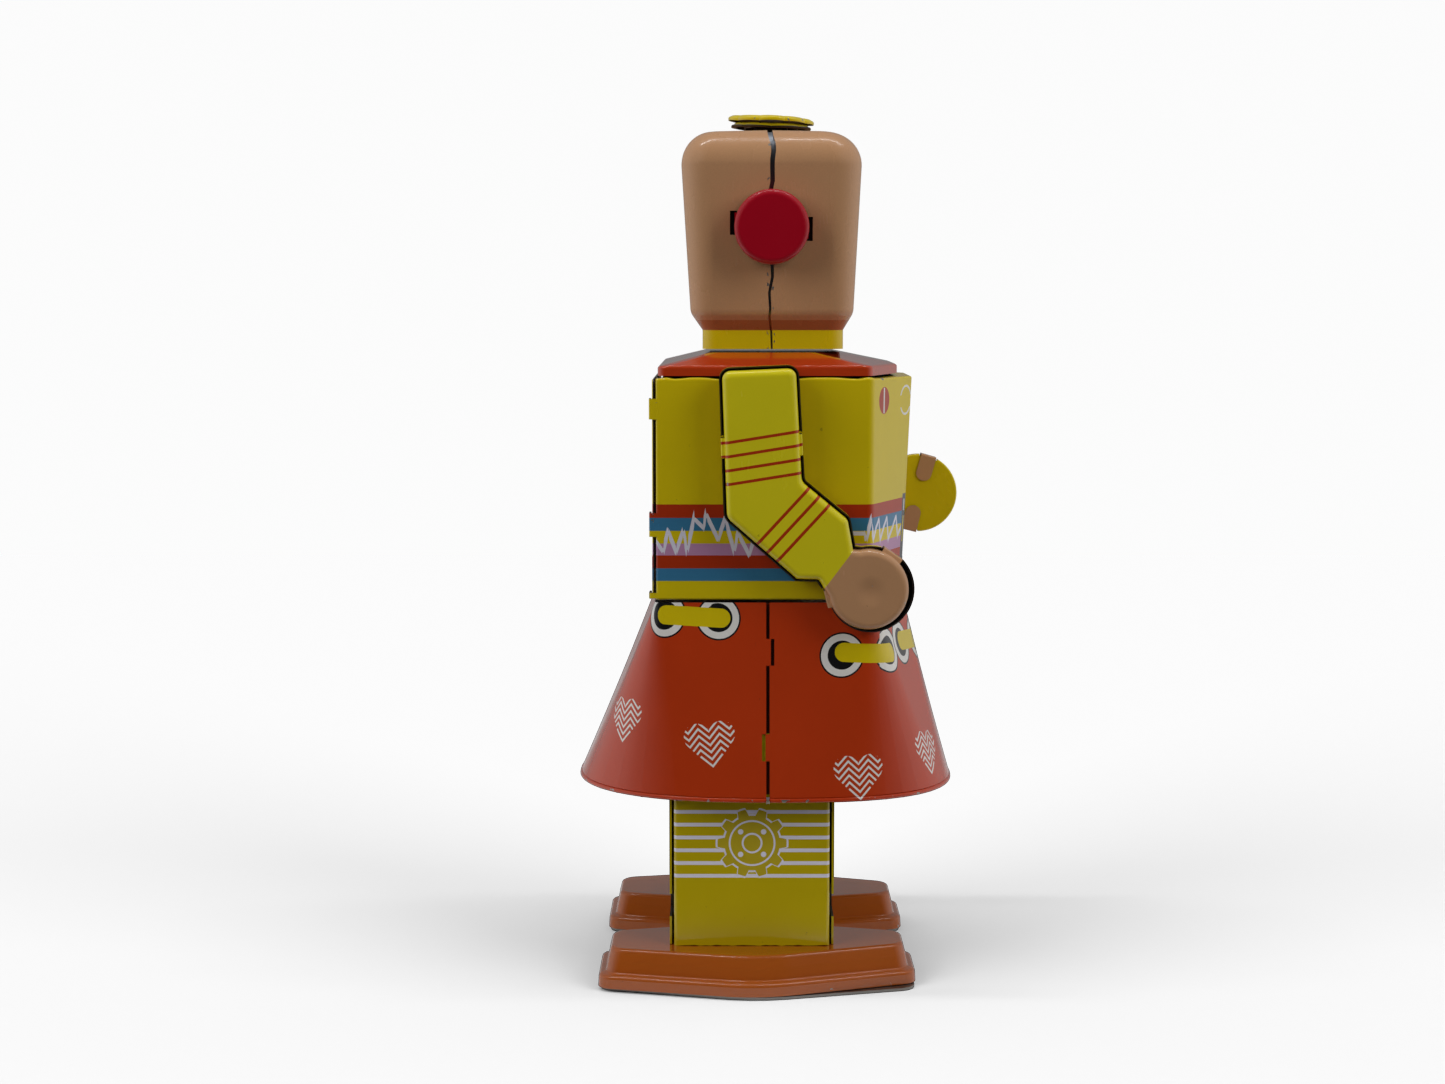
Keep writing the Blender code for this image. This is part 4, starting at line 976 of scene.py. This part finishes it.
def torso_shell():
    low, high = WRAP[0].z, WRAP[1].z
    half, rear = WRAP[1].x, WRAP[1].y
    profile = rounded([(1.5, low, 0), (0, low, 0.5), (0, high, 0.5), (3.4, high, 0)], 5, False)
    rings = []
    widest = None
    for inset, z in dense(profile, 6.0):
        chest_y = CHEST_LOW_Y + (CHEST_TOP_Y - CHEST_LOW_Y) * (z - low) / (high - low)
        side, bend = half - inset, BEND_Y + 0.3 * inset
        right = [(-side + 2.0, rear, 0), (-side, rear, 0.45), (-side, bend, 1.6),
                 (-CHEST_HALF, chest_y + inset, 1.2)]
        path = rounded(right + [(-u, v, r) for u, v, r in reversed(right)], closed=False)
        widest = widest or path
        lift = max(0.0, (z - high + 1.2) / 1.2)
        rings.append([(u, v, z + lift * fold_ripple(v)) for u, v in dense(path, 1.5, like=widest)])
    bores = [turned([(23.0, radius), (27.0, radius)], 32, axis)
             for radius, axis in ((1.9, SHOULDER), (1.9, SHOULDER), (2.2, WINDING))]
    mirrored(bores[0])
    finishes = [TORSO_TIN, RAW_EDGE, DARK_TIN]
    piece("torso_shell", open_loft(rings), TORSO, finishes, "yellow_tin", ("torso_wrap",), SHEET, bores)


def back_panel():
    inset = 0.35
    left, right = BACK[0].x + inset, BACK[1].x - inset
    outline = rounded([(left, BACK[0].z, 0.8), (right, BACK[0].z, 0.8), (right, BACK[1].z, 0.8),
                       (left, BACK[1].z, 0.8)], 5)
    rings = []
    for behind, margin in ((0.4, 0), (0.15, 0), (0, -0.15)):
        rings.append([(u, BACK[1].y - behind, v) for u, v in grown(outline, margin)])
    bm = faced_out(loft(rings, caps=(True, True)))
    for face in bm.faces:
        face.material_index = 1 if abs(face.normal.y) < 0.5 else 0
    piece("back_plate", bm, TORSO, [TORSO_TIN, RAW_EDGE], "yellow_tin", ("torso_back_panel",))


def back_tabs():
    """The side sheet's tabs, which pass out behind the back plate and are bent flat on it."""
    half, behind = WRAP[1].x - 0.02, BACK[1].y + 0.55
    path = rounded([(half, WRAP[1].y - 0.9, 0), (half, behind, 0.3), (half - 3.4, behind, 0)], 4, False)
    strips = []
    for sign in (-1, 1):
        for ends in BACK_TAB_ENDS:
            strips.append(open_loft([level(path, z) for z in ends]))
            on_side(sign, strips[-1:])
    finishes = [TORSO_TIN, RAW_EDGE, TORSO_TIN]
    piece("back_plate_tabs", joined(strips), TORSO, finishes, "yellow_tin", sheet=0.35)


# ---------------- skirt

HEM_POWERS = (2.7, 2.35)
# (place round the body, z, half gap, slant) of each pair of eyelets
EYELET_PAIRS = ((15.8, 68.4, 5.0, 0.04), (-16.6, 61.7, 5.0, -0.04), (-33.6, 62.3, 4.6, 0.02))
LACE_SLANT = 0.06
# (bearing, z, lean) of each heart, in degrees and millimetres. Those off the middle line are on both sides.
HEART_PLACES = ((129.0, 48.9, 2), (160.3, 45.7, 8), (209.7, 39.7, 2), (238.5, 42.3, -6), (270.0, 47.0, 0),
                (90.0, 42.0, 0))
SEAM_GAP = 0.62
UPPER_TAB = (59.6, 64.4)
LOWER_TAB = (42.6, 47.4)
HEM_BEAD = 0.42
HEM_BEAD_OUT = -0.30


def hem_outline(steps=180):
    front_depth, rear_depth = SKIRT_SEAM_Y - SKIRT[0].y, SKIRT[1].y - SKIRT_SEAM_Y
    points = []
    for i in range(steps):
        angle = 2 * math.pi * i / steps
        u, v = math.cos(angle), math.sin(angle)
        depth, power = (rear_depth, HEM_POWERS[1]) if v > 0 else (front_depth, HEM_POWERS[0])
        size = (abs(u) / SKIRT[1].x) ** power + (abs(v) / depth) ** power
        points.append((u * size ** (-1 / power), SKIRT_SEAM_Y + v * size ** (-1 / power)))
    return points


def half_outline(outline, front):
    """The front or rear half of a closed outline, counter-clockwise from one side seam to the other."""
    side = -1 if front else 1
    inner = [(u, v) for u, v in outline if side * (v - SKIRT_SEAM_Y) > 0.3]
    inner.sort(key=lambda p: math.atan2(-side * p[0], side * (p[1] - SKIRT_SEAM_Y)))
    first, last = (math.pi, 0.0) if front else (0.0, math.pi)
    centre = (0.0, SKIRT_SEAM_Y)
    return [tuple(reach(outline, centre, first)), *inner, tuple(reach(outline, centre, last))]


def ruled_pairs(front):
    """Waist and hem points joined by the straight lines of a sheet that is bent but never stretched."""
    waist, hem = half_outline(SKIRT_TOP, front), half_outline(SKIRT_HEM, front)
    base = -90.0 if front else 90.0

    def turn_of(outline, i):
        if i + 1 >= len(outline):
            return 1e9
        way = Vector(outline[i + 1]) - Vector(outline[i])
        return (math.degrees(math.atan2(way.y, way.x)) - base + 30.0) % 360.0

    i = j = 0
    pairs = [(waist[0], hem[0])]
    while i < len(waist) - 1 or j < len(hem) - 1:
        if turn_of(waist, i) <= turn_of(hem, j):
            i += 1
        else:
            j += 1
        pairs.append((waist[i], hem[j]))
    return pairs


def skirt_spread(z):
    """How far a height is from the waist towards the hem: 0 to 1, a little held in between."""
    spread = (SKIRT[1].z - z) / (SKIRT[1].z - SKIRT_HEM_Z)
    spread -= 0.02 * math.sin(math.pi * spread)
    return min(0.995, max(0.005, spread))


def skirt_ring(z):
    """The skirt's closed section at one height."""
    spread = skirt_spread(z)
    pairs = SKIRT_PAIRS[True][:-1] + SKIRT_PAIRS[False][:-1]
    return [tuple(Vector(top).lerp(Vector(low), spread)) for top, low in pairs]


def skirt_point(angle, z, out=0.0):
    """A point of the flared skirt at one bearing and height, or a little outside it."""
    point = reach(skirt_ring(z), (0.0, SKIRT_SEAM_Y), angle)
    outward = Vector((math.cos(angle), math.sin(angle)))
    return Vector((*(point + outward * out), z))


def heart_frames():
    """Frames on the skirt for each printed heart, on both sides: u along it, v up it, w out of it."""
    frames = []
    twins = [((180 - bearing) % 360, z, -lean) for bearing, z, lean in HEART_PLACES if bearing % 180 != 90]
    for bearing, z, lean in (*HEART_PLACES, *twins):
        angle = math.radians(bearing)
        along = (skirt_point(angle + 0.06, z) - skirt_point(angle - 0.06, z)).normalized()
        up = (skirt_point(angle, z + 2) - skirt_point(angle, z - 2)).normalized()
        out = along.cross(up).normalized()
        matrix = Matrix((along, out.cross(along), out)).transposed()
        matrix = (matrix @ Matrix.Rotation(math.radians(lean), 3, "Z")).to_4x4()
        matrix.translation = skirt_point(angle, z)
        frames.append(matrix)
    return frames


def seam_shift(z):
    """The side seam steps forward and back at its two interlocking tabs."""
    if UPPER_TAB[0] < z < UPPER_TAB[1]:
        return -0.85
    if LOWER_TAB[0] < z < LOWER_TAB[1]:
        return 0.75
    return 0.0


def skirt_rows():
    """Heights of the skirt's rings from the waist down to the hem bead, with each row's outward offset."""
    heights = [z for step in UPPER_TAB + LOWER_TAB for z in about(step, 0.02)]
    count = 26
    low = SKIRT_HEM_Z + 0.95
    heights += [low + (SKIRT[1].z - low) * i / count for i in range(count + 1)]
    rows = [(z, 0.0) for z in sorted(heights, reverse=True)]
    for turn in range(75, -226, -25):
        up, out = math.sin(math.radians(turn)), math.cos(math.radians(turn))
        rows.append((SKIRT_HEM_Z + HEM_BEAD * (1 + up), HEM_BEAD_OUT + HEM_BEAD * out))
    return rows


def skirt_half(name, front):
    side = -1 if front else 1
    rings = []
    for z, out in skirt_rows():
        spread = skirt_spread(max(z, SKIRT_HEM_Z))
        ring = [Vector(top).lerp(Vector(low), spread) for top, low in SKIRT_PAIRS[front]]
        moved = []
        for i, point in enumerate(ring):
            way = ring[min(i + 1, len(ring) - 1)] - ring[max(i - 1, 0)]
            moved.append(point + Vector((way.y, -way.x)).normalized() * out)
        for end in (0, -1):
            moved[end] = Vector((moved[end].x, SKIRT_SEAM_Y + side * SEAM_GAP / 2 + seam_shift(z)))
        rings.append([(point.x, point.y, z) for point in moved])
    rings.reverse()
    node = "skirt_front_shell" if front else "skirt_rear_shell"
    piece(name, open_loft(rings), TORSO, [SKIRT_TIN, RAW_EDGE, INSIDE_TIN], "orange_tin", (node,), 0.3)


def seam_strips(heights, turns, inside):
    """A strip behind each side seam, as far inside the skirt's surface as it says."""
    strips = []
    for middle in (math.pi, 0.0):
        rings = [[tuple(skirt_point(middle + turn, z, -inside)) for turn in turns] for z in heights]
        strips.append(open_loft(rings))
    return joined(strips)


def skirt_seams():
    """The lips behind the side seams, and the yellow tongues that show where the lower tabs step back."""
    count = 14
    low, high = SKIRT_HEM_Z + 1.4, SKIRT[1].z - 0.3
    heights = [low + (high - low) * i / count for i in range(count + 1)]
    # The lips take the painted shade orange
    lips = seam_strips(heights, (-0.07, -0.03, 0.03, 0.07), 0.75)
    piece("skirt_seam_lips", lips, TORSO, [SKIRT_LIP_SHADE], "orange_tin", sheet=0.25)
    tongues = seam_strips((LOWER_TAB[0] - 0.1, LOWER_TAB[1] + 0.1), (-0.05, 0.0, 0.05), 0.34)
    piece("skirt_seam_tongues", tongues, TORSO, [LINING_TIN], "yellow_tin", sheet=0.2)


# ---------------- arms

# The sleeve's side view in (y, z) from the pivot, with each corner's radius, and the wrist's two ends
SLEEVE = ((5.8, -20.85, 2.2), (6.7, 5.2, 1.5), (-6.4, 5.75, 1.5), (-7.5, -14.4, 2.0), (-15.7, -21.2, 1.5))
WRIST = ((-16.7, -26.6), (-6.7, -31.8))
WRIST_NOTCH = (-10.6, -31.9, 0.8)
SLEEVE_TABS = [((6.28, -8.4), (1.0, -0.03), 3.5), ((-7.05, -7.8), (-1.0, 0.05), 3.7)]
PALM_DIMPLE = ((3.2, 0.0), (2.6, 0.05), (2.0, 0.16), (1.4, 0.31), (0.9, 0.41), (0.4, 0.46))


def arm_outline(hand_shift=(0.0, 0.0)):
    """An arm's side view in (y, z) from its pivot: the sleeve, bent at the elbow, and the round hand."""
    middle = (HAND_CENTRE[0] + hand_shift[0], HAND_CENTRE[1] + hand_shift[1])
    sleeve = rounded([*SLEEVE, *((*end, 0) for end in WRIST)], 6)[:-1]
    steps = 52
    hand = []
    for i in range(1, steps + 1):
        angle = math.radians(72.0 + 278.0 * i / steps)
        hand.append((middle[0] + HAND_RADIUS * math.cos(angle), middle[1] + HAND_RADIUS * math.sin(angle)))
    return sleeve + hand + rounded([(*hand[-1], 0), WRIST_NOTCH, (*WRIST[1], 0)], 4, False)[1:]


def face_with_dimple(bm, x):
    """Closes an arm's outer face round a pressed dimple in the palm."""
    open_edges = [e for e in bm.edges if len(e.link_faces) == 1]
    edges = [e for e in open_edges if abs(sum(v.co.x for v in e.verts) / 2 - x) < 1e-4]
    centre = (HAND_CENTRE[0] - 0.3, HAND_CENTRE[1] - 0.4)
    rows = [[bm.verts.new(point) for point in across(circle(radius, centre, 32), x - depth)]
            for radius, depth in PALM_DIMPLE]
    for wide, narrow in zip(rows, rows[1:]):
        for i in range(len(wide)):
            j = (i + 1) % len(wide)
            bm.faces.new((wide[i], wide[j], narrow[j], narrow[i]))
    bm.faces.new(rows[-1])
    rim = [bm.edges.get((rows[0][i - 1], rows[0][i])) for i in range(len(rows[0]))]
    bmesh.ops.triangle_fill(bm, use_beauty=True, use_dissolve=False, edges=edges + rim)
    faced_out(bm)


def tab_frame(foot, outward):
    """A tab's foot on the arm's edge, the way outwards there and the way along the edge."""
    outward = Vector(outward).normalized()
    return Vector(foot), outward, Vector((-outward.y, outward.x))


def arm_tab(foot, outward, width, inward=4.6):
    """A tab of the outer shell, bent down through a notch in the tray's wall and flat on its back."""
    foot, outward, along = tab_frame(foot, outward)
    edge, back = TRAY_MARGIN + 0.02, ARM_TRAY[0].x - 0.28
    section = rounded([(-0.4, 30.2, 0), (edge, 29.9, 0.35), (edge, back, 0.3), (-inward, back, 0)], 5, False)
    section = section[:-1] + dense(section[-2:], 0.3)[1:]
    rings = []
    for out, x in section:
        half = width / 2
        to_end = out + inward
        if x < back + 0.1 and to_end < half:
            half = math.sqrt(max(0.02, half ** 2 - (half - to_end) ** 2))
        places = [foot + outward * out + along * half * (i / 3 - 1) for i in range(7)]
        rings.append([(x, place.x, place.y) for place in places])
    return open_loft(rings)


def tray_notch(foot, outward, width):
    """A cutter that opens the tray's wall for one tab."""
    foot, outward, along = tab_frame(foot, outward)
    half = width / 2 + 0.35
    corners = [tuple(foot + outward * out + along * half * way)
               for out, way in ((0.1, -1), (3.0, -1), (3.0, 1), (0.1, 1))]
    ends = (ARM_TRAY[0].x - 1.0, ARM_TRAY[1].x + 1.0)
    return faced_out(loft([across(corners, x) for x in ends], caps=(True, True)))


def hand_edge(degrees, width):
    way = Vector((math.cos(math.radians(degrees)), math.sin(math.radians(degrees))))
    return tuple(Vector(HAND_CENTRE) + way * HAND_RADIUS), tuple(way), width


def arm(side, sign, raised):
    outline, tray_outline = arm_outline(), arm_outline(TRAY_HAND_SHIFT[side])
    outer, inner = ARM_SHELL[1].x, ARM_TRAY[0].x
    section = rounded([(0.0, inner + 0.9, 0), (0.0, outer, 1.25), (-1.6, outer, 0)], 8, False)[:-1]
    shell = loft([across(grown(outline, margin), x) for margin, x in section])
    face_with_dimple(shell, outer)
    wall = rounded([(TRAY_MARGIN, ARM_TRAY[1].x, 0), (TRAY_MARGIN, inner, 0.35), (-0.6, inner, 0)], 4, False)
    tray = flipped(loft([across(grown(tray_outline, margin), x) for margin, x in wall], caps=(False, True)))
    places = [hand_edge(degrees, width) for degrees, width in HAND_TABS[side]] + SLEEVE_TABS
    tabs = faced_out(joined([arm_tab(*place) for place in places]))
    holes = [turned([(26.0, 1.9), (27.6, 1.9)], 32)] + [tray_notch(*place) for place in places]
    on_side(sign, [shell, tray, tabs, *holes])
    body = f"{side}_arm"
    held = {"pivot": (0.0, *SHOULDER), "raised": raised}
    # The tray's inner side takes the painted shadow black, so the gap round the shell reads dark
    for name, bm, finishes, stands_for, sheet, cutters in (
        ("shell", shell, [ARM_TIN, RAW_EDGE, DARK_TIN], (f"{body}_outer_shell",), 0.3, ()),
        ("tray", tray, [TRAY_TIN, RAW_EDGE, GAP_SHADOW_BLACK], (f"{body}_inner_tray",), 0.25, holes),
        ("tabs", tabs, [ARM_TIN, RAW_EDGE, ARM_TIN], (), 0.28, ()),
    ):
        piece(f"{body}_{name}", bm, body, finishes, "yellow_tin", stands_for, sheet, cutters, **held)


# ---------------- legs and shoes

def channel(web_x, open_x, ends, low, high, ripple=0.0):
    """A leg's folded channel between two ends in y. Its lower edge may be a little uneven."""
    front, rear = ends
    corners = [(open_x, rear, 0), (web_x, rear, 0.8), (web_x, front, 0.8), (open_x, front, 0)]
    path = dense(rounded(corners, closed=False), 1.0)
    rings = []
    for z in (low, low + 1.0, high):
        lift = ripple if z == low else 0.0
        rings.append([(u, v, z + lift * (math.sin(1.3 * v) + math.sin(2.9 * v + 1))) for u, v in path])
    bm = open_loft(rings)
    return flipped(bm) if web_x > open_x else bm


def leg(side, sign):
    low, high = LEG_OUTER
    inner_low, inner_high = LEG_INNER
    foot = SHOE[1].z + 0.1
    web = channel(high.x, low.x, (low.y, high.y), foot, high.z, 0.05)
    inner = channel(inner_low.x, inner_high.x, (inner_low.y, inner_high.y), foot, high.z)
    guide = axis_of("leg_guide_shaft")
    holes = [turned([(end, 1.65) for end in about(x, 2)], 32, guide) for x in (high.x, inner_low.x)]
    notches = [
        box((inner_low.x + 1.0, inner_high.x + 1.0), ys, ANKLE_NOTCH_Z)
        for ys in ((inner_low.y - 1, inner_low.y + 0.6), (inner_high.y - 0.6, inner_high.y + 1))
    ]
    on_side(sign, [web, inner, *holes, *notches])
    body = f"{side}_leg"
    piece(f"{body}_web", web, body, [LEG_TIN, RAW_EDGE, DARK_TIN], "yellow_tin",
          (f"{body}_outer_channel",), SHEET, holes[:1])
    piece(f"{body}_lining", inner, body, [LINING_TIN, LINING_TIN, DARK_TIN], "yellow_tin",
          (f"{body}_inner_channel",), SHEET, holes[1:] + notches)


def boat(inset, centre):
    """A shoe's plan: straight ends, and sides that swell to the middle."""
    length, middle = (SHOE[1].y - SHOE[0].y) / 2 - inset, (SHOE[1].x - SHOE[0].x) / 2 + 0.8 - inset * 1.35
    heel_out, heel_in, toe_in, toe_out = (half - inset for half in (9.3, 8.4, 8.4, 5.8))
    corner, swell = 3.0, 22.0
    corners = [(heel_out, length, corner), (-heel_in, length, corner), (-middle, 0, swell),
               (-toe_in, -length, corner), (toe_out, -length, corner), (middle, 0, swell)]
    return [(u + centre[0], v + centre[1]) for u, v in rounded(corners, 12)]


def shoe(side, sign):
    centre = ((SHOE[0].x + SHOE[1].x) / 2, (SHOE[0].y + SHOE[1].y) / 2)
    low, deck = SHOE[0].z, SHOE[1].z
    profile = rounded([(0.0, low - 0.15, 0), (0.1, 2.9, 0.7), (1.35, 3.1, 0.35), (1.75, 5.3, 1.5),
                       (2.25, deck, 0.75), (4.8, deck, 0)], 6, False)
    bm = loft([level(boat(inset, centre), z) for inset, z in profile], caps=(False, True))
    on_side(sign, [bm])
    finishes = [SHOE_TIN, RAW_EDGE, DARK_TIN]
    piece(f"{side}_shoe", bm, f"{side}_leg", finishes, "brown_tin", (f"{side}_shoe_upper",), SHEET)


# ---------------- winding key

def winding_key():
    """A butterfly key: a turned shank with a soldered wing blade."""
    root, tip = KEY[0].x, KEY[1].x
    collar = 31.4
    profile = rounded([(root + 3.4, 1.8, 0), (root, 1.8, 0), (root, 2.9, 0.25), (collar, 2.9, 0.5),
                       (collar, 0.01, 0)], 4, False)
    shank = turned(profile, 40, WINDING, (False, False))
    wing, low = (KEY[1].z - KEY[0].z) / 2, 29.6
    right = [(1.6, low + 1.4, 0.5), (wing, low + 0.9, 2.0), (wing - 0.4, tip, 2.2), (1.4, tip - 1.7, 1.0)]
    left = [(-z, x, radius) for z, x, radius in reversed(right)]
    outline = rounded(left[-2:] + right + left[:2], 8)
    rings = []
    for offset, margin in ((-0.6, -0.25), (-0.35, 0.0), (0.35, 0.0), (0.6, -0.25)):
        rings.append([(x, WINDING[0] + offset, WINDING[1] + z) for z, x in grown(outline, margin)])
    blade = loft(rings, caps=(True, True))
    key = joined([faced_out(shank), faced_out(blade)])
    piece("key", key, "winding_set", [NICKEL], "steel", ("winding_key",))


# ---------------- build

SKIRT_HEM_Z = SKIRT[0].z + 0.15
SKIRT_TOP = six_sided(WRAP[1].x + 0.2, WRAP[1].y + 0.2, BEND_Y - 0.06, CHEST_LOW_Y - 0.2, (1.0, 1.6, 1.2))
SKIRT_HEM = hem_outline()
SKIRT_PAIRS = {front: ruled_pairs(front) for front in (True, False)}

RAW_EDGE = metal("raw_edge", DARK_METAL, 0.45)
DARK_TIN = metal("dark_tin", (0.05, 0.047, 0.045), 0.55, metallic=0.6)
# Painted shadow: near-black for the tray's inner side and the ear tabs, where the gaps would only be in
# shade
GAP_SHADOW_BLACK = metal("gap_shadow_black", (0.008, 0.008, 0.008), 0.8, metallic=0.0)
INSIDE_TIN = metal("inside_tin", (0.50, 0.47, 0.40), 0.38, (1.0, 1.0, 0.15))
SEAM_METAL = metal("seam_metal", (0.30, 0.32, 0.36), 0.42, (1.0, 1.0, 0.2))
NICKEL = metal("nickel", (0.62, 0.60, 0.56), 0.26, (0.3, 1.0, 1.0))
STEEL = metal("steel_plate", (0.52, 0.52, 0.52), 0.36, (1.0, 0.15, 1.0))
BRASS = metal("brass_wheel", (0.62, 0.44, 0.17), 0.34)
BARE_TIN = metal("bare_tin_plate", (0.34, 0.33, 0.31), 0.42, (0.2, 1.0, 1.0), 0.4)

HEAD_TIN = painted("head_tin", SKIN, head_prints, head_chips, gloss=0.25, screen=0.16, coat=0.2)
FACE_TIN = painted("face_tin", SKIN, face_prints, head_chips, gloss=0.25, screen=0.16, coat=0.2)
CRIMSON_TIN = painted("crimson_tin", CRIMSON, gloss=0.34, waves=0.0, coat=0.1)
# Painted shade: dark brown for the petals' underside, the hollow that lies in shade under the flower
PETAL_UNDERSIDE_SHADE = painted("petal_underside_shade", (0.10, 0.06, 0.02), gloss=0.5, coat=0.0)
PETAL_TIN = painted("petal_tin", YELLOW, flower_prints, flower_chips, gloss=0.3, waves=0.02)
COVER_TIN = painted("cover_tin", ORANGE, gloss=0.11, waves=0.10, coat=0.9)
TORSO_TIN = painted("torso_tin", YELLOW, torso_prints, edge_chips_torso, gloss=0.22)
SKIRT_TIN = painted("skirt_tin", ORANGE, skirt_prints, skirt_chips, gloss=0.15, waves=0.14, coat=0.5)
# Painted shade: the skirt's orange darkened, for the lips as they show in the seams' shadow
SKIRT_LIP_SHADE = painted("skirt_lip_shade_tin", (0.20, 0.02, 0.004), gloss=0.35)
ARM_TIN = painted("arm_tin", SLEEVE_YELLOW, arm_prints, arm_chips, gloss=0.24)
TRAY_TIN = painted("tray_tin", YELLOW, gloss=0.26)
# The leg webs and their linings take the painted shade yellow
LEG_TIN = painted("leg_tin", SHADED_LEG_YELLOW, leg_prints, leg_chips, gloss=0.18)
LINING_TIN = painted("lining_tin", SHADED_LEG_YELLOW, gloss=0.26)
SHOE_TIN = painted("shoe_tin", BROWN, chips=shoe_chips, gloss=0.14, waves=0.05, coat=0.6)

head_half("head_front", True, [FACE_TIN, RAW_EDGE, DARK_TIN])
head_half("head_rear", False, [HEAD_TIN, RAW_EDGE, DARK_TIN])
head_seam_strip()
ear("right_ear_button", -1)
ear("left_ear_button", 1)
flower()
flower_stand()
shoulder_cover()
torso_shell()
back_panel()
back_tabs()
skirt_half("skirt_front", True)
skirt_half("skirt_rear", False)
skirt_seams()
for side_name, side_sign, side_raise in (("right", -1, 0.0), ("left", 1, LEFT_ARM_RAISE)):
    arm(side_name, side_sign, side_raise)
    leg(side_name, side_sign)
    shoe(side_name, side_sign)
winding_key()

METALS = {"steel": STEEL, "brass": BRASS, "bare_tin": BARE_TIN}
for name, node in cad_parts.items():
    if node.hide_render:
        continue
    found = [m.name for m in node.data.materials if m]
    kind = next((METALS[k] for k in METALS if any(k in label for label in found)), STEEL)
    for index in range(len(node.material_slots)):
        node.material_slots[index].material = kind


# ---------------- stage, light and camera

def area_light(name, place, aim, width, height, power, mirrored_in=True):
    light = bpy.data.lights.new(name, "AREA")
    light.shape = "RECTANGLE"
    light.size, light.size_y = width, height
    light.energy = power
    obj = bpy.data.objects.new(name, light)
    obj.location = place
    obj.rotation_euler = (Vector(aim) - Vector(place)).to_track_quat("-Z", "Y").to_euler()
    obj.visible_glossy = mirrored_in
    bpy.context.scene.collection.objects.link(obj)


def studio_world():
    """Soft white surroundings, brightest behind the robot and fading to dark on the camera's side."""
    world = bpy.data.worlds.new("studio")
    bpy.context.scene.world = world
    world.use_nodes = True
    tree = world.node_tree
    sky = tree.nodes["Background"]
    place = tree.nodes.new("ShaderNodeTexCoord")
    split = tree.nodes.new("ShaderNodeSeparateXYZ")
    tree.links.new(place.outputs["Generated"], split.inputs[0])
    x, y, _ = (Field(tree, socket) for socket in split.outputs)
    away = (((x + 0.8) * 1.2) | 0.0) & 1.0
    glow = away * (y * y * 0.42 + 0.19) + 0.02
    sky.inputs["Color"].default_value = (1.0, 1.0, 1.0, 1.0)
    rays = tree.nodes.new("ShaderNodeLightPath")
    seen = Field(tree, rays.outputs["Is Camera Ray"])
    link(seen * 0.97 + (~seen) * glow, sky.inputs["Strength"])


def floor(name, x_low, x_high, seen_by_surfaces):
    """A sheet of white card. The one on the camera's side throws no light back on the near faces."""
    half = 0.45
    corners = ((x_low, -half, 0), (x_high, -half, 0), (x_high, half, 0), (x_low, half, 0))
    bm = bmesh.new()
    bm.faces.new([bm.verts.new(corner) for corner in corners])
    mesh = bpy.data.meshes.new(name)
    bm.to_mesh(mesh)
    bm.free()
    obj = bpy.data.objects.new(name, mesh)
    obj.location.z = -0.00005
    material = bpy.data.materials.new(name + "_white")
    material.use_nodes = True
    shader = material.node_tree.nodes["Principled BSDF"]
    shader.inputs["Base Color"].default_value = (0.86, 0.86, 0.86, 1.0)
    shader.inputs["Roughness"].default_value = 0.7
    mesh.materials.append(material)
    bpy.context.scene.collection.objects.link(obj)
    obj.is_shadow_catcher = True
    obj.visible_glossy = seen_by_surfaces
    obj.visible_diffuse = seen_by_surfaces


def camera():
    lens = bpy.data.cameras.new("camera")
    lens.lens = 60.6
    lens.sensor_width = 36.0
    lens.clip_start = 0.01
    obj = bpy.data.objects.new("camera", lens)
    obj.location = (-0.462, 0.0092, 0.1271)
    obj.rotation_euler = Euler((math.radians(90 - 5.91), 0.0, math.radians(-90 + 0.106)))
    bpy.context.scene.collection.objects.link(obj)
    bpy.context.scene.camera = obj


studio_world()
floor("floor_far", -0.06, 0.7, True)
floor("floor_near", -0.44, -0.06, False)
camera()
for end, sign in (("rear", 1), ("front", -1)):
    over, beside = (-0.02, sign * 0.165, 0.62), (-0.32, sign * 0.44, 0.40)
    area_light(f"strip_{end}", over, (over[0], over[1], 0.0), 0.026, 0.30, 0.42)
    area_light(f"side_box_{end}", beside, (0.0, 0.0, 0.11), 0.40, 0.40, 1.36, mirrored_in=False)
bpy.context.scene.view_settings.view_transform = "Standard"
